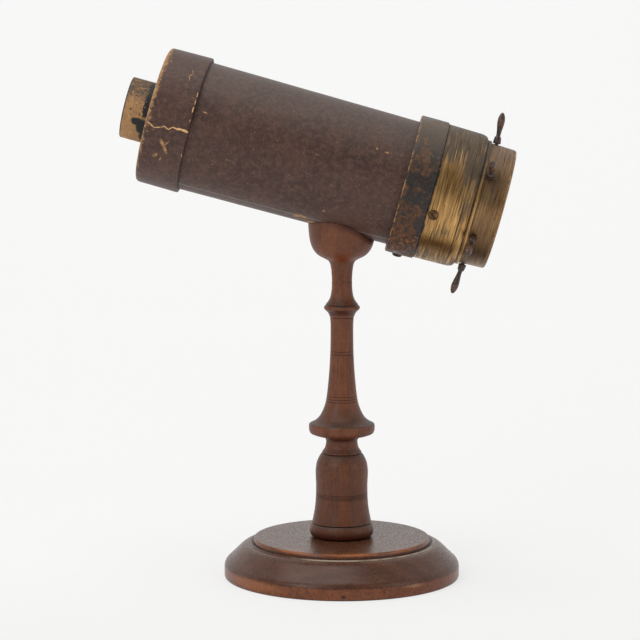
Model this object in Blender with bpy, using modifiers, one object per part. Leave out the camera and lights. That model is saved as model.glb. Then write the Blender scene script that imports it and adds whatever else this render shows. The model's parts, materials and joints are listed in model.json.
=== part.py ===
"""A parlour kaleidoscope on a turned wooden stand.

The pasteboard barrel lies in a saddle at the top of the stand, its axis sloping down
from the eye end (-X) to the object end (+X). The stand's axis is Z, and the origin is
the centre of the base's underside. Two long mirrors stand in a V inside the barrel.
At the object end a spoked brass ring turns in the neck of a brass collar, and carries
the two glasses with the loose coloured pieces between them.

Pieces on the barrel are drawn along the barrel's own Z, which runs towards the object
end from where the barrel's axis crosses the stand's. Their own +X points downwards and
their own +Y away from the viewer.
"""
import math

import bmesh
import bpy
from mathutils import Matrix, Vector

MM = 0.001

# Clearances
GLUE_GAP = 0.3 * MM
RUNNING_GAP = 0.4 * MM
CUT_OVERRUN = 2.0 * MM
MERGE_DISTANCE = 0.001 * MM

# How finely round pieces are faceted
BARREL_STEPS = 40
BASE_STEPS = 44
FOOT_STEPS = 28
STEM_STEPS = 24
CUP_STEPS = 28
LINING_STEPS = 24
SPOKE_STEPS = 8
SCREW_STEPS = 12
PEG_STEPS = 12
BEAD_RINGS = 8
SHARD_SIDES = 5
CORNER_POINTS = 3
SHARP_ANGLE = math.radians(28)

# Base plate: a thick disc with an ogee edge and a raised table
BASE_R = 77.7 * MM
BASE_H = 26.0 * MM
BASE_SIDE_H = 8.0 * MM
BASE_ARRIS = 0.9 * MM
TABLE_R = 57.9 * MM
TABLE_STEP_H = 2.9 * MM
TABLE_FLARE = 0.5 * MM
TABLE_ROUND = 0.7 * MM
TABLE_GROOVE_W = 1.7 * MM
TABLE_GROOVE_DEPTH = 1.1 * MM
OGEE_SHARES = ((0, 0), (0.19, 0.05), (0.45, 0.28), (0.65, 0.52), (0.82, 0.71), (0.94, 0.85), (1, 1))

# Foot turning: a roll on the base and a bell above it, tenoned into the base
FOOT_H = 56.0 * MM
FOOT_SEAT_R = 18.5 * MM
FOOT_ROLL_R = 20.95 * MM
FOOT_ROLL_H = 9.4 * MM
FOOT_GROOVE_DEPTH = 0.5 * MM
FOOT_BELL_R = 19.6 * MM
FOOT_TOP_R = 13.3 * MM
FOOT_TENON_R = 11.0 * MM
FOOT_TENON_L = 14.0 * MM
ROLL_SHARES = ((0, 0), (0.14, 0.68), (0.4, 1), (0.75, 0.86), (0.95, 0.47))
BELL_SHARES = ((0, 1), (0.11, 0.86), (0.2, 0.75), (0.29, 0.69), (0.38, 0.64), (0.5, 0.62), (0.6, 0.625),
               (0.72, 0.65), (0.79, 0.62), (0.865, 0.53), (0.91, 0.41), (0.955, 0.26), (1, 0))

# Stem turning: a flange, a trumpet that thins upwards, and a sharp collar
STEM_H = 113.6 * MM
STEM_FOOT_STEP = 0.1 * MM
STEM_NECK_R = 10.4 * MM
STEM_NECK_H = 9.2 * MM
STEM_SOCKET_R = 6.5 * MM
STEM_TENON_L = 19.0 * MM
STEM_NECK_SHARES = ((0, 1), (0.15, 0.75), (0.38, 0.28), (0.6, 0.07), (0.82, 0), (1, 0.1))
FLANGE_R = 21.7 * MM
FLANGE_RISE = 10.6 * MM
FLANGE_H = 9.4 * MM
FLANGE_UNDER_SHARES = ((0.05, 0.0), (0.55, 0.12), (0.92, 0.3), (1, 0.48))
FLANGE_OVER_SHARES = ((1, 0.8), (0.985, 0.93), (0.94, 1))
WAIST_R = 7.45 * MM
COLLAR_R = 11.85 * MM
COLLAR_DROP = 23.6 * MM
COLLAR_H = 15.0 * MM
STEM_TIP_R = 6.6 * MM
TRUMPET_SHARES = ((0.026, 0.745), (0.055, 0.58), (0.085, 0.475), (0.14, 0.345), (0.2, 0.25), (0.25, 0.195),
                  (0.37, 0.119), (0.48, 0.071), (0.65, 0.02), (0.88, 0))
COLLAR_SHARES = ((0, 0.07), (0.1, 0.19), (0.23, 0.45), (0.34, 0.86), (0.4, 1), (0.47, 0.98), (0.55, 0.8),
                 (0.63, 0.56), (0.76, 0.27), (0.9, 0.1))
STEM_TENON_R = 4.2 * MM
CUP_TENON_L = 10.0 * MM

# Saddle cup: a turned bowl, cut on top to the barrel's curve
CUP_R = 22.15 * MM
CUP_NECK_H = 10.9 * MM
CUP_BOWL_H = 30.5 * MM
CUP_NECK_FLARE = 1.0 * MM
SADDLE_FLOOR_H = 21.05 * MM
CUP_NECK_SHARES = ((0, 0), (0.3, 0.1), (0.65, 0.34), (0.85, 0.66))
CUP_BOWL_SHARES = ((0.055, 0.06), (0.1, 0.14), (0.145, 0.3), (0.185, 0.49), (0.23, 0.61), (0.275, 0.69),
                   (0.32, 0.76), (0.41, 0.85), (0.5, 0.91), (0.66, 0.965), (0.84, 1), (1, 1))

# Barrel: its slope and its pasteboard tube
BARREL_SLOPE = math.radians(15.3)
TUBE_EYE_R = 42.68 * MM
TUBE_TAPER = 0.0093
TUBE_WALL = 3.0 * MM
TUBE_EYE_END = -124.0 * MM

# Eye cap: a covered pasteboard cup over the tube's eye end
CAP_END_T = 3.0 * MM
CAP_L = 28.3 * MM
CAP_WALL = 1.77 * MM
CAP_FLARE = 0.35 * MM
CAP_ROUND = 1.8 * MM
CAP_FRONT_ROUND = 0.6 * MM

# Eyepiece: a bare pasteboard tube with its glass held between two rings
EYE_R = 20.0 * MM
EYE_WALL = 2.5 * MM
EYE_OUT = 18.8 * MM
EYE_IN = 4.3 * MM
EYE_ROUND = 0.7 * MM
EYE_GLASS_T = 1.6 * MM
EYE_GLASS_SET = 6.3 * MM
EYE_STOP_T = 1.5 * MM
EYE_STOP_HOLE_R = 9.0 * MM
EYE_RING_T = 1.7 * MM
EYE_RING_W = 2.0 * MM

# Mirror system: two glass mirrors in a V, closed by a dark strip, in two wooden seats
MIRROR_ANGLE = math.radians(30)
MIRROR_T = 2.4 * MM
MIRROR_APEX_ROOM = 13.5 * MM
MIRROR_CORNER_ROOM = 8.7 * MM
MIRROR_APEX_SET = 0.7 * MM
STRIP_T = 1.2 * MM
SEAT_T = 5.0 * MM
EYE_SEAT_SET = 1.1 * MM
OBJECT_SEAT_SET = 12.0 * MM

# Object end: a painted pasteboard band, then the spun brass collar
BAND_BACK = 41.3 * MM
BAND_L = 18.7 * MM
BAND_WALL = 4.26 * MM
BAND_ROUND = 0.8 * MM
PACKING_T = 1.83 * MM
SKIRT_L = 21.4 * MM
SKIRT_FLARE = 0.4 * MM
SHOULDER_H = 5.2 * MM
SHOULDER_W = 2.85 * MM
NECK_H = 2.6 * MM
COLLAR_WALL = 0.9 * MM
SHOULDER_SHARES = ((1, 0), (0.95, 0.34), (0.8, 0.64), (0.55, 0.86), (0.25, 0.97), (0, 1))

# Turning ring: a drum in the collar's neck, held by its rear flange
RING_OUT = 17.3 * MM
RING_TAPER = 0.5 * MM
RING_WALL = 2.2 * MM
RING_ROUND = 1.5 * MM
RING_LIP_T = 1.2 * MM
RING_LIP_W = 2.1 * MM
RING_FLANGE_T = 1.4 * MM
RING_FLANGE_W = 1.75 * MM

# Object cell: two glasses, the ring that spaces them, and a spring clip behind them
CELL_GLASS_T = 2.0 * MM
CELL_DEPTH = 8.6 * MM
SPACER_WALL = 1.7 * MM
CLIP_T = 1.3 * MM
CLIP_W = 1.6 * MM
MIRROR_TO_CELL = 0.8 * MM
BIT_R = 2.2 * MM
BIT_END_ROOM = 0.4 * MM
SHARD_SHARE = 0.95
SHARD_LENGTH_SHARE = 0.7

# Spokes: turned dark wood, screwed through the ring's wall and raked to the barrel
SPOKE_COUNT = 6
SPOKE_RAKE = math.radians(4.5)
SPOKE_L = 20.5 * MM
SPOKE_ROOT_R = 2.6 * MM
SPOKE_ROOT_H = 4.3 * MM
SPOKE_NECK_R = 1.45 * MM
SPOKE_BULB_R = 2.38 * MM
SPOKE_STUD_R = 1.2 * MM
SPOKE_SET = 3.4 * MM
SPOKE_SEAT_RISE = 0.5 * MM
SPOKE_ROOT_SHARES = ((0, 0.9), (0.2, 1), (0.62, 1), (0.85, 0.8), (1, 0.6))
SPOKE_GRIP_SHARES = ((0.24, 0), (0.34, 0.08), (0.46, 0.47), (0.58, 0.86), (0.68, 1), (0.8, 0.95),
                     (0.9, 0.68), (0.96, 0.2))
SPOKE_TIP_SHARE = 0.45

# Screws: slotted round heads
SCREW_HEAD_R = 3.35 * MM
SCREW_HEAD_H = 1.5 * MM
SCREW_SHANK_R = 1.3 * MM
SCREW_SHANK_L = 5.0 * MM
SCREW_SLOT_W = 0.8 * MM
SCREW_SLOT_DEPTH = 0.7 * MM
SCREW_SLOT_TURN = math.radians(35)
COLLAR_SCREW_SET = 4.1 * MM
COLLAR_SCREW_TURN = math.radians(16)
BAND_SCREW_SET = 8.5 * MM
BAND_SHANK_L = 6.0 * MM
SADDLE_SHANK_L = 15.0 * MM
WASHER_R = 5.0 * MM
WASHER_T = 0.8 * MM
WASHER_SINK = 0.7 * MM
HEAD_SHARES = ((0, 1), (0.45, 0.95), (0.8, 0.72), (1, 0.4))

# Colours: red, green and blue, then roughness and metallic
WOOD = ((0.15, 0.06, 0.035), 0.42, 0.0)
LEATHER_CLOTH = ((0.078, 0.05, 0.04), 0.6, 0.0)
PASTEBOARD = ((0.43, 0.26, 0.12), 0.85, 0.0)
BLACK_PAINT = ((0.035, 0.038, 0.04), 0.55, 0.0)
BRASS = ((0.42, 0.25, 0.075), 0.38, 1.0)
DULL_BRASS = ((0.26, 0.15, 0.05), 0.45, 1.0)
DARK_WOOD = ((0.07, 0.035, 0.026), 0.4, 0.0)
GLASS = ((0.75, 0.82, 0.8), 0.06, 0.0)
MIRROR_SILVER = ((0.8, 0.8, 0.8), 0.04, 1.0)
BLACK_CARD = ((0.012, 0.012, 0.012), 0.9, 0.0)
IRON = ((0.12, 0.11, 0.1), 0.45, 1.0)
BIT_COLOURS = {
    "ruby": (0.45, 0.01, 0.02),
    "amber": (0.6, 0.25, 0.01),
    "green": (0.02, 0.28, 0.06),
    "cobalt": (0.01, 0.04, 0.4),
    "violet": (0.16, 0.02, 0.3),
}

GLASS_ALPHA = 0.35
BIT_ALPHA = 0.7

# What follows: the stand, from the base upwards
FOOT_TOP_Z = BASE_H + FOOT_H
STEM_FOOT_R = FOOT_TOP_R - STEM_FOOT_STEP
STEM_NECK_TOP_Z = FOOT_TOP_Z + STEM_NECK_H
FLANGE_BOTTOM_Z = FOOT_TOP_Z + FLANGE_RISE
FLANGE_TOP_Z = FLANGE_BOTTOM_Z + FLANGE_H
STEM_TOP_Z = FOOT_TOP_Z + STEM_H
COLLAR_BOTTOM_Z = STEM_TOP_Z - COLLAR_DROP
COLLAR_TOP_Z = COLLAR_BOTTOM_Z + COLLAR_H
CUP_NECK_R = STEM_TIP_R + CUP_NECK_FLARE
CUP_NECK_TOP_Z = STEM_TOP_Z + CUP_NECK_H
CUP_LIP_Z = CUP_NECK_TOP_Z + CUP_BOWL_H


def tube_radius(along):
    """The tapering tube's outer radius."""
    return TUBE_EYE_R - TUBE_TAPER * (along - TUBE_EYE_END)


# The barrel's height over the saddle, and its eye end
BARREL_AXIS_Z = CUP_NECK_TOP_Z + SADDLE_FLOOR_H + GLUE_GAP + tube_radius(0) / math.cos(BARREL_SLOPE)
CAP_BACK = TUBE_EYE_END - GLUE_GAP - CAP_END_T
CAP_FRONT = CAP_BACK + CAP_L
CAP_BACK_R = TUBE_EYE_R + GLUE_GAP + CAP_WALL
CAP_FRONT_R = CAP_BACK_R + CAP_FLARE
EYE_BACK = CAP_BACK - EYE_OUT
EYE_FRONT = TUBE_EYE_END + EYE_IN
EYE_GLASS_BACK = EYE_FRONT - EYE_GLASS_SET
MIRROR_START = EYE_FRONT + 2 * GLUE_GAP
EYE_SEAT_START = MIRROR_START + EYE_SEAT_SET

# The object end, from the band to the turning ring
BAND_FRONT = BAND_BACK + BAND_L
BAND_R = tube_radius(BAND_BACK) + GLUE_GAP + BAND_WALL
BAND_SCREW_AT = BAND_BACK + BAND_SCREW_SET
COLLAR_BACK = BAND_FRONT + GLUE_GAP
COLLAR_SHOULDER = COLLAR_BACK + SKIRT_L
COLLAR_NECK_BACK = COLLAR_SHOULDER + SHOULDER_H
COLLAR_NECK_FRONT = COLLAR_NECK_BACK + NECK_H
COLLAR_BORE_R = tube_radius(COLLAR_BACK) + PACKING_T + 2 * GLUE_GAP
COLLAR_SHOULDER_R = COLLAR_BORE_R + COLLAR_WALL
COLLAR_BACK_R = COLLAR_SHOULDER_R + SKIRT_FLARE
COLLAR_NECK_R = COLLAR_SHOULDER_R - SHOULDER_W
COLLAR_SCREW_AT = COLLAR_BACK + COLLAR_SCREW_SET
NECK_BORE_R = COLLAR_NECK_R - COLLAR_WALL
SHOULDER_INSIDE = COLLAR_NECK_BACK - COLLAR_WALL
RING_DRUM_R = NECK_BORE_R - RUNNING_GAP
RING_FRONT_R = RING_DRUM_R - RING_TAPER
RING_BORE_R = RING_DRUM_R - RING_WALL
RING_FLANGE_FRONT = SHOULDER_INSIDE - GLUE_GAP
RING_BACK = RING_FLANGE_FRONT - RING_FLANGE_T
RING_FRONT = COLLAR_NECK_FRONT + RING_OUT
RING_LIP_BACK = RING_FRONT - RING_LIP_T
SHOULDER_POCKET_R = RING_DRUM_R + RING_FLANGE_W + RUNNING_GAP
TUBE_OBJECT_END = RING_BACK - GLUE_GAP
PACKING_FRONT = COLLAR_SHOULDER - GLUE_GAP
OBJECT_SEAT_START = TUBE_OBJECT_END - OBJECT_SEAT_SET
SPOKE_PLANE = COLLAR_NECK_FRONT + SPOKE_SET

# The cell inside the ring, and the mirrors that reach to it
CELL_FIT_R = RING_BORE_R - GLUE_GAP
OUTER_GLASS_BACK = RING_LIP_BACK - GLUE_GAP - CELL_GLASS_T
SPACER_FRONT = OUTER_GLASS_BACK - GLUE_GAP
SPACER_BACK = SPACER_FRONT - CELL_DEPTH
INNER_GLASS_BACK = SPACER_BACK - GLUE_GAP - CELL_GLASS_T
CLIP_BACK = INNER_GLASS_BACK - GLUE_GAP - CLIP_T
CELL_FLOOR_R = CELL_FIT_R - SPACER_WALL
MIRROR_END = INNER_GLASS_BACK - MIRROR_TO_CELL
SEAT_R = tube_radius(OBJECT_SEAT_START + SEAT_T) - TUBE_WALL - GLUE_GAP
MIRROR_APEX_DROP = SEAT_R - MIRROR_APEX_ROOM
MIRROR_BACK_SET = MIRROR_APEX_DROP * math.sin(MIRROR_ANGLE / 2) + MIRROR_T
MIRROR_CORNER_REACH = math.sqrt((SEAT_R - MIRROR_CORNER_ROOM) ** 2 - MIRROR_BACK_SET ** 2)
MIRROR_W = MIRROR_APEX_DROP * math.cos(MIRROR_ANGLE / 2) + MIRROR_CORNER_REACH - MIRROR_APEX_SET


def start_empty():
    """Clear the scene and make the collections for the parts and the cutters."""
    for obj in list(bpy.data.objects):
        bpy.data.objects.remove(obj, do_unlink=True)
    made = []
    for name in ("kaleidoscope", "cutters"):
        collection = bpy.data.collections.new(name)
        bpy.context.scene.collection.children.link(collection)
        made.append(collection)
    return made


PARTS, CUTTERS = start_empty()


def material(name, look, alpha=1.0):
    """A Principled material from a (colour, roughness, metallic) look."""
    colour, roughness, metallic = look
    made = bpy.data.materials.new(name)
    made.use_nodes = True
    shader = made.node_tree.nodes["Principled BSDF"]
    shader.inputs["Base Color"].default_value = (*colour, 1.0)
    shader.inputs["Roughness"].default_value = roughness
    shader.inputs["Metallic"].default_value = metallic
    shader.inputs["Alpha"].default_value = alpha
    made.diffuse_color = (*colour, alpha)
    return made


def frame_empty(name, parent=None):
    """An empty that carries the pieces drawn in its frame."""
    empty = bpy.data.objects.new(name, None)
    empty.parent = parent
    PARTS.objects.link(empty)
    return empty


def add_object(name, mesh, parent, look=None, alpha=1.0):
    """Link a mesh as a part with its own material, or as a cutter if it has no look."""
    obj = bpy.data.objects.new(name, mesh)
    obj.parent = parent
    if look is None:
        obj.hide_render = True
        obj.display_type = "WIRE"
        CUTTERS.objects.link(obj)
        return obj
    mesh.materials.append(material(name, look, alpha))
    PARTS.objects.link(obj)
    return obj


def settle(obj):
    """Turn an object's modifiers into its mesh, and shade it smooth up to its arrises."""
    depsgraph = bpy.context.evaluated_depsgraph_get()
    mesh = bpy.data.meshes.new_from_object(obj.evaluated_get(depsgraph))
    obj.modifiers.clear()
    obj.data = mesh
    mesh.shade_smooth()
    mesh.set_sharp_from_angle(angle=SHARP_ANGLE)
    return obj


def turned(name, profile, steps, parent, look=None, hollow=False, alpha=1.0):
    """Turn a profile of (radius, height) points, listed down its outer side, about Z."""
    edges = [(index, index + 1) for index in range(len(profile) - 1)]
    if hollow:
        edges.append((len(profile) - 1, 0))
    mesh = bpy.data.meshes.new(name)
    mesh.from_pydata([(radius, 0, height) for radius, height in profile], edges, [])
    obj = add_object(name, mesh, parent, look, alpha)
    screw = obj.modifiers.new("turning", "SCREW")
    screw.steps = steps
    screw.render_steps = steps
    screw.use_merge_vertices = True
    screw.merge_threshold = MERGE_DISTANCE
    return settle(obj)


def ring(name, outer_r, inner_r, back, front, steps, parent, look, alpha=1.0):
    """A plain ring of rectangular section."""
    profile = [(outer_r, front), (outer_r, back), (inner_r, back), (inner_r, front)]
    return turned(name, profile, steps, parent, look, hollow=True, alpha=alpha)


def disc(name, radius, back, front, steps, parent, look, alpha=1.0):
    """A plain disc."""
    profile = [(0, front), (radius, front), (radius, back), (0, back)]
    return turned(name, profile, steps, parent, look, alpha=alpha)


def block(name, size, parent, look=None):
    """A box of the given size, centred on its origin."""
    mesh = bpy.data.meshes.new(name)
    shape = bmesh.new()
    bmesh.ops.create_cube(shape, size=1)
    bmesh.ops.scale(shape, vec=size, verts=shape.verts)
    shape.to_mesh(mesh)
    shape.free()
    return add_object(name, mesh, parent, look)


def pegs(name, places, radius, length, parent):
    """A cutter of straight pegs, each centred on one of the given places along its Z."""
    mesh = bpy.data.meshes.new(name)
    shape = bmesh.new()
    for place in places:
        bmesh.ops.create_cone(
            shape, cap_ends=True, segments=PEG_STEPS, radius1=radius, radius2=radius,
            depth=length, matrix=place)
    shape.to_mesh(mesh)
    shape.free()
    return add_object(name, mesh, parent)


def cut(obj, cutter):
    """Take a cutter's volume out of an object."""
    boolean = obj.modifiers.new(cutter.name, "BOOLEAN")
    boolean.operation = "DIFFERENCE"
    boolean.solver = "EXACT"
    boolean.object = cutter


def round_corner(centre, radius, start, end):
    """Points on an arc about a centre, from one angle in degrees to another."""
    points = []
    for index in range(CORNER_POINTS + 1):
        angle = math.radians(start + (end - start) * index / CORNER_POINTS)
        points.append((centre[0] + radius * math.cos(angle), centre[1] + radius * math.sin(angle)))
    return points


def radial_turn(turn, tip=0):
    """The rotation that stands a piece's Z outwards, at a turn from the barrel's +X."""
    return Matrix.Rotation(turn, 4, "Z") @ Matrix.Rotation(math.pi / 2 + tip, 4, "Y")


def radial_place(turn, along, radius, tip=0):
    """A place on the barrel, with its Z outwards."""
    out = Vector((math.cos(turn) * radius, math.sin(turn) * radius, along))
    return Matrix.Translation(out) @ radial_turn(turn, tip)


def set_place(obj, place):
    """Put an object at a place in its parent's frame."""
    obj.location = place.to_translation()
    obj.rotation_euler = place.to_euler()


# The stand


def base_plate():
    """The disc: upright rim, ogee, groove and raised table, with a socket for the foot."""
    table_low_z = BASE_H - TABLE_STEP_H
    groove_in = TABLE_R + TABLE_FLARE
    ogee_r = groove_in + TABLE_GROOVE_W
    socket_r = FOOT_TENON_R + GLUE_GAP
    socket_z = BASE_H - FOOT_TENON_L
    profile = [(0, socket_z), (socket_r, socket_z), (socket_r, BASE_H)]
    table_edge = (TABLE_R - TABLE_ROUND, BASE_H - TABLE_ROUND)
    profile += round_corner(table_edge, TABLE_ROUND, 90, 0)
    profile.append((groove_in, table_low_z))
    profile.append((groove_in + TABLE_GROOVE_W / 3, table_low_z - TABLE_GROOVE_DEPTH))
    for run, drop in OGEE_SHARES:
        height = table_low_z - drop * (table_low_z - BASE_SIDE_H)
        profile.append((ogee_r + run * (BASE_R - ogee_r), height))
    profile += [(BASE_R, BASE_ARRIS), (BASE_R - BASE_ARRIS, 0), (0, 0)]
    return turned("base_plate", profile, BASE_STEPS, None, WOOD)


def foot_turning():
    """The roll and bell that stand on the base, with a socket for the stem."""
    seat_z = BASE_H + GLUE_GAP
    groove_z = seat_z + FOOT_ROLL_H
    socket_r = STEM_SOCKET_R + GLUE_GAP
    socket_z = FOOT_TOP_Z - STEM_TENON_L
    profile = [(0, socket_z), (socket_r, socket_z), (socket_r, FOOT_TOP_Z)]
    for rise, width in reversed(BELL_SHARES):
        height = groove_z + rise * (FOOT_TOP_Z - groove_z)
        profile.append((FOOT_TOP_R + width * (FOOT_BELL_R - FOOT_TOP_R), height))
    profile.append((FOOT_BELL_R - FOOT_GROOVE_DEPTH, groove_z - FOOT_GROOVE_DEPTH / 2))
    for rise, width in reversed(ROLL_SHARES):
        profile.append((FOOT_SEAT_R + width * (FOOT_ROLL_R - FOOT_SEAT_R), seat_z + rise * FOOT_ROLL_H))
    tenon_z = BASE_H - FOOT_TENON_L + GLUE_GAP
    profile += [(FOOT_TENON_R, seat_z), (FOOT_TENON_R, tenon_z), (0, tenon_z)]
    return turned("foot_turning", profile, FOOT_STEPS, None, WOOD)


def stem_turning():
    """The flange, trumpet and collar, with a tenon at each end."""
    bottom_z = FOOT_TOP_Z + GLUE_GAP
    flange_h = FLANGE_TOP_Z - FLANGE_BOTTOM_Z
    flange_top_r = FLANGE_R * FLANGE_OVER_SHARES[-1][0]
    tip_z = STEM_TOP_Z + CUP_TENON_L
    profile = [(0, tip_z), (STEM_TENON_R, tip_z), (STEM_TENON_R, STEM_TOP_Z), (STEM_TIP_R, STEM_TOP_Z)]
    for rise, width in reversed(COLLAR_SHARES):
        height = COLLAR_BOTTOM_Z + rise * (COLLAR_TOP_Z - COLLAR_BOTTOM_Z)
        profile.append((STEM_TIP_R + width * (COLLAR_R - STEM_TIP_R), height))
    for rise, width in reversed(TRUMPET_SHARES):
        height = FLANGE_TOP_Z + rise * (COLLAR_BOTTOM_Z - FLANGE_TOP_Z)
        profile.append((WAIST_R + width * (flange_top_r - WAIST_R), height))
    for width, rise in reversed(FLANGE_OVER_SHARES):
        profile.append((FLANGE_R * width, FLANGE_BOTTOM_Z + rise * flange_h))
    for width, rise in reversed(FLANGE_UNDER_SHARES):
        profile.append((STEM_NECK_R + width * (FLANGE_R - STEM_NECK_R), FLANGE_BOTTOM_Z + rise * flange_h))
    neck_h = STEM_NECK_TOP_Z - bottom_z
    for rise, width in reversed(STEM_NECK_SHARES):
        profile.append((STEM_NECK_R + width * (STEM_FOOT_R - STEM_NECK_R), bottom_z + rise * neck_h))
    tenon_z = FOOT_TOP_Z - STEM_TENON_L + GLUE_GAP
    profile += [(STEM_SOCKET_R, bottom_z), (STEM_SOCKET_R, tenon_z), (0, tenon_z)]
    return turned("stem_turning", profile, STEM_STEPS, None, WOOD)


def saddle_cup(barrel):
    """The bowl under the barrel, cut to the tube's taper and drilled for the stem's tenon."""
    bottom_z = STEM_TOP_Z + GLUE_GAP
    socket_r = STEM_TENON_R + GLUE_GAP
    socket_z = STEM_TOP_Z + CUP_TENON_L + GLUE_GAP
    profile = [(0, CUP_LIP_Z)]
    for rise, width in reversed(CUP_BOWL_SHARES):
        height = CUP_NECK_TOP_Z + rise * (CUP_LIP_Z - CUP_NECK_TOP_Z)
        profile.append((CUP_NECK_R + width * (CUP_R - CUP_NECK_R), height))
    for rise, width in reversed(CUP_NECK_SHARES):
        height = bottom_z + rise * (CUP_NECK_TOP_Z - bottom_z)
        profile.append((STEM_TIP_R + width * (CUP_NECK_R - STEM_TIP_R), height))
    profile += [(socket_r, bottom_z), (socket_r, socket_z), (0, socket_z)]
    cup = turned("saddle_cup", profile, CUP_STEPS, None, WOOD)
    back = -(CUP_R + CUT_OVERRUN)
    front = back + 3 * CUP_R
    front_r = tube_radius(front) + GLUE_GAP
    back_r = tube_radius(back) + GLUE_GAP
    bed = [(0, front), (front_r, front), (back_r, back), (0, back)]
    cut(cup, turned("saddle_bed", bed, BARREL_STEPS, barrel))
    return cup


# The barrel


def barrel_tube(barrel):
    """The tapering pasteboard tube, inside the cap at one end and the collar at the other."""
    eye_r = tube_radius(TUBE_EYE_END)
    object_r = tube_radius(TUBE_OBJECT_END)
    profile = [
        (object_r, TUBE_OBJECT_END), (eye_r, TUBE_EYE_END),
        (eye_r - TUBE_WALL, TUBE_EYE_END), (object_r - TUBE_WALL, TUBE_OBJECT_END)]
    return turned("barrel_tube", profile, BARREL_STEPS, barrel, LEATHER_CLOTH, hollow=True)


def eye_cap(barrel):
    """The cup over the tube's end, its front wall bored for the eyepiece."""
    hole_r = EYE_R + GLUE_GAP
    inside = TUBE_EYE_END - GLUE_GAP
    bore_r = tube_radius(TUBE_EYE_END) + GLUE_GAP
    front_centre = (CAP_FRONT_R - CAP_FRONT_ROUND, CAP_FRONT - CAP_FRONT_ROUND)
    back_centre = (CAP_BACK_R - CAP_ROUND, CAP_BACK + CAP_ROUND)
    profile = [(bore_r, CAP_FRONT)]
    profile += round_corner(front_centre, CAP_FRONT_ROUND, 90, 0)
    profile += round_corner(back_centre, CAP_ROUND, 0, -90)
    profile += [(hole_r, CAP_BACK), (hole_r, inside), (bore_r, inside)]
    return turned("eye_cap", profile, BARREL_STEPS, barrel, LEATHER_CLOTH, hollow=True)


def eye_tube(barrel):
    """The bare pasteboard eyepiece, glued in the cap's end wall."""
    mouth = (EYE_R - EYE_ROUND, EYE_BACK + EYE_ROUND)
    bore_r = EYE_R - EYE_WALL
    profile = [(EYE_R, EYE_FRONT)]
    profile += round_corner(mouth, EYE_ROUND, 0, -90)
    profile += [(bore_r, EYE_BACK), (bore_r, EYE_FRONT)]
    return turned("eye_tube", profile, LINING_STEPS, barrel, PASTEBOARD, hollow=True)


def eye_optics(barrel):
    """The eye glass, the stop with its peephole behind it and the ring that holds them."""
    fit_r = EYE_R - EYE_WALL - GLUE_GAP
    glass_front = EYE_GLASS_BACK + EYE_GLASS_T
    stop_back = glass_front + GLUE_GAP
    ring_front = EYE_GLASS_BACK - GLUE_GAP
    disc("eye_glass", fit_r, EYE_GLASS_BACK, glass_front, LINING_STEPS, barrel, GLASS, GLASS_ALPHA)
    stop_front = stop_back + EYE_STOP_T
    ring("eye_stop", fit_r, EYE_STOP_HOLE_R, stop_back, stop_front, LINING_STEPS, barrel, BLACK_CARD)
    ring("eye_glass_ring", fit_r, fit_r - EYE_RING_W, ring_front - EYE_RING_T, ring_front, LINING_STEPS,
         barrel, DULL_BRASS)


def mirror_side(along_face, out_of_face, side):
    """The point on a mirror's flank that lies so far along its face from the apex."""
    half = MIRROR_ANGLE / 2
    down = MIRROR_APEX_DROP - along_face * math.cos(half) + out_of_face * math.sin(half)
    across = side * (along_face * math.sin(half) + out_of_face * math.cos(half))
    return down, across


def mirrors(barrel):
    """Two long glass mirrors standing in a V with its edge below the barrel's axis."""
    length = MIRROR_END - MIRROR_START
    middle = (MIRROR_END + MIRROR_START) / 2
    for name, side in (("mirror_near", -1), ("mirror_far", 1)):
        plate = block(name, (MIRROR_W, MIRROR_T, length), barrel, MIRROR_SILVER)
        down, across = mirror_side(MIRROR_APEX_SET + MIRROR_W / 2, MIRROR_T / 2, side)
        plate.location = (down, across, middle)
        plate.rotation_euler = (0, 0, side * (math.pi - MIRROR_ANGLE / 2))


def mirror_back_strip(barrel):
    """The dark strip that closes the top of the V."""
    top_down, _ = mirror_side(MIRROR_APEX_SET + MIRROR_W, 0, 1)
    _, half_width = mirror_side(MIRROR_APEX_SET + MIRROR_W, MIRROR_T, 1)
    length = MIRROR_END - MIRROR_START
    strip = block("mirror_back_strip", (STRIP_T, 2 * half_width, length), barrel, BLACK_CARD)
    strip.location = (top_down - GLUE_GAP - STRIP_T / 2, 0, (MIRROR_END + MIRROR_START) / 2)


def mirror_seats(barrel):
    """Two wooden discs in the tube, each notched for the closed V of mirrors and strip."""
    low_down, _ = mirror_side(MIRROR_APEX_SET, MIRROR_T + GLUE_GAP, 1)
    low_down += GLUE_GAP
    top_down, _ = mirror_side(MIRROR_APEX_SET + MIRROR_W, 0, 1)
    top_down -= STRIP_T + 2 * GLUE_GAP
    spread = math.tan(MIRROR_ANGLE / 2)
    flank = (MIRROR_T + GLUE_GAP) / math.cos(MIRROR_ANGLE / 2)
    low_half = flank + (MIRROR_APEX_DROP - low_down) * spread
    top_half = flank + (MIRROR_APEX_DROP - top_down) * spread
    for name, start in (("mirror_seat_eye", EYE_SEAT_START), ("mirror_seat_object", OBJECT_SEAT_START)):
        end = start + SEAT_T
        seat_r = tube_radius(end) - TUBE_WALL - GLUE_GAP
        seat = disc(name, seat_r, start, end, LINING_STEPS, barrel, WOOD)
        notch = block(name + "_notch", (low_down - top_down, 2 * top_half, SEAT_T + CUT_OVERRUN), barrel)
        notch.location = ((low_down + top_down) / 2, 0, start + SEAT_T / 2)
        for corner in notch.data.vertices:
            half_width = low_half if corner.co.x > 0 else top_half
            corner.co.y = math.copysign(half_width, corner.co.y)
        cut(seat, notch)


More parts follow.
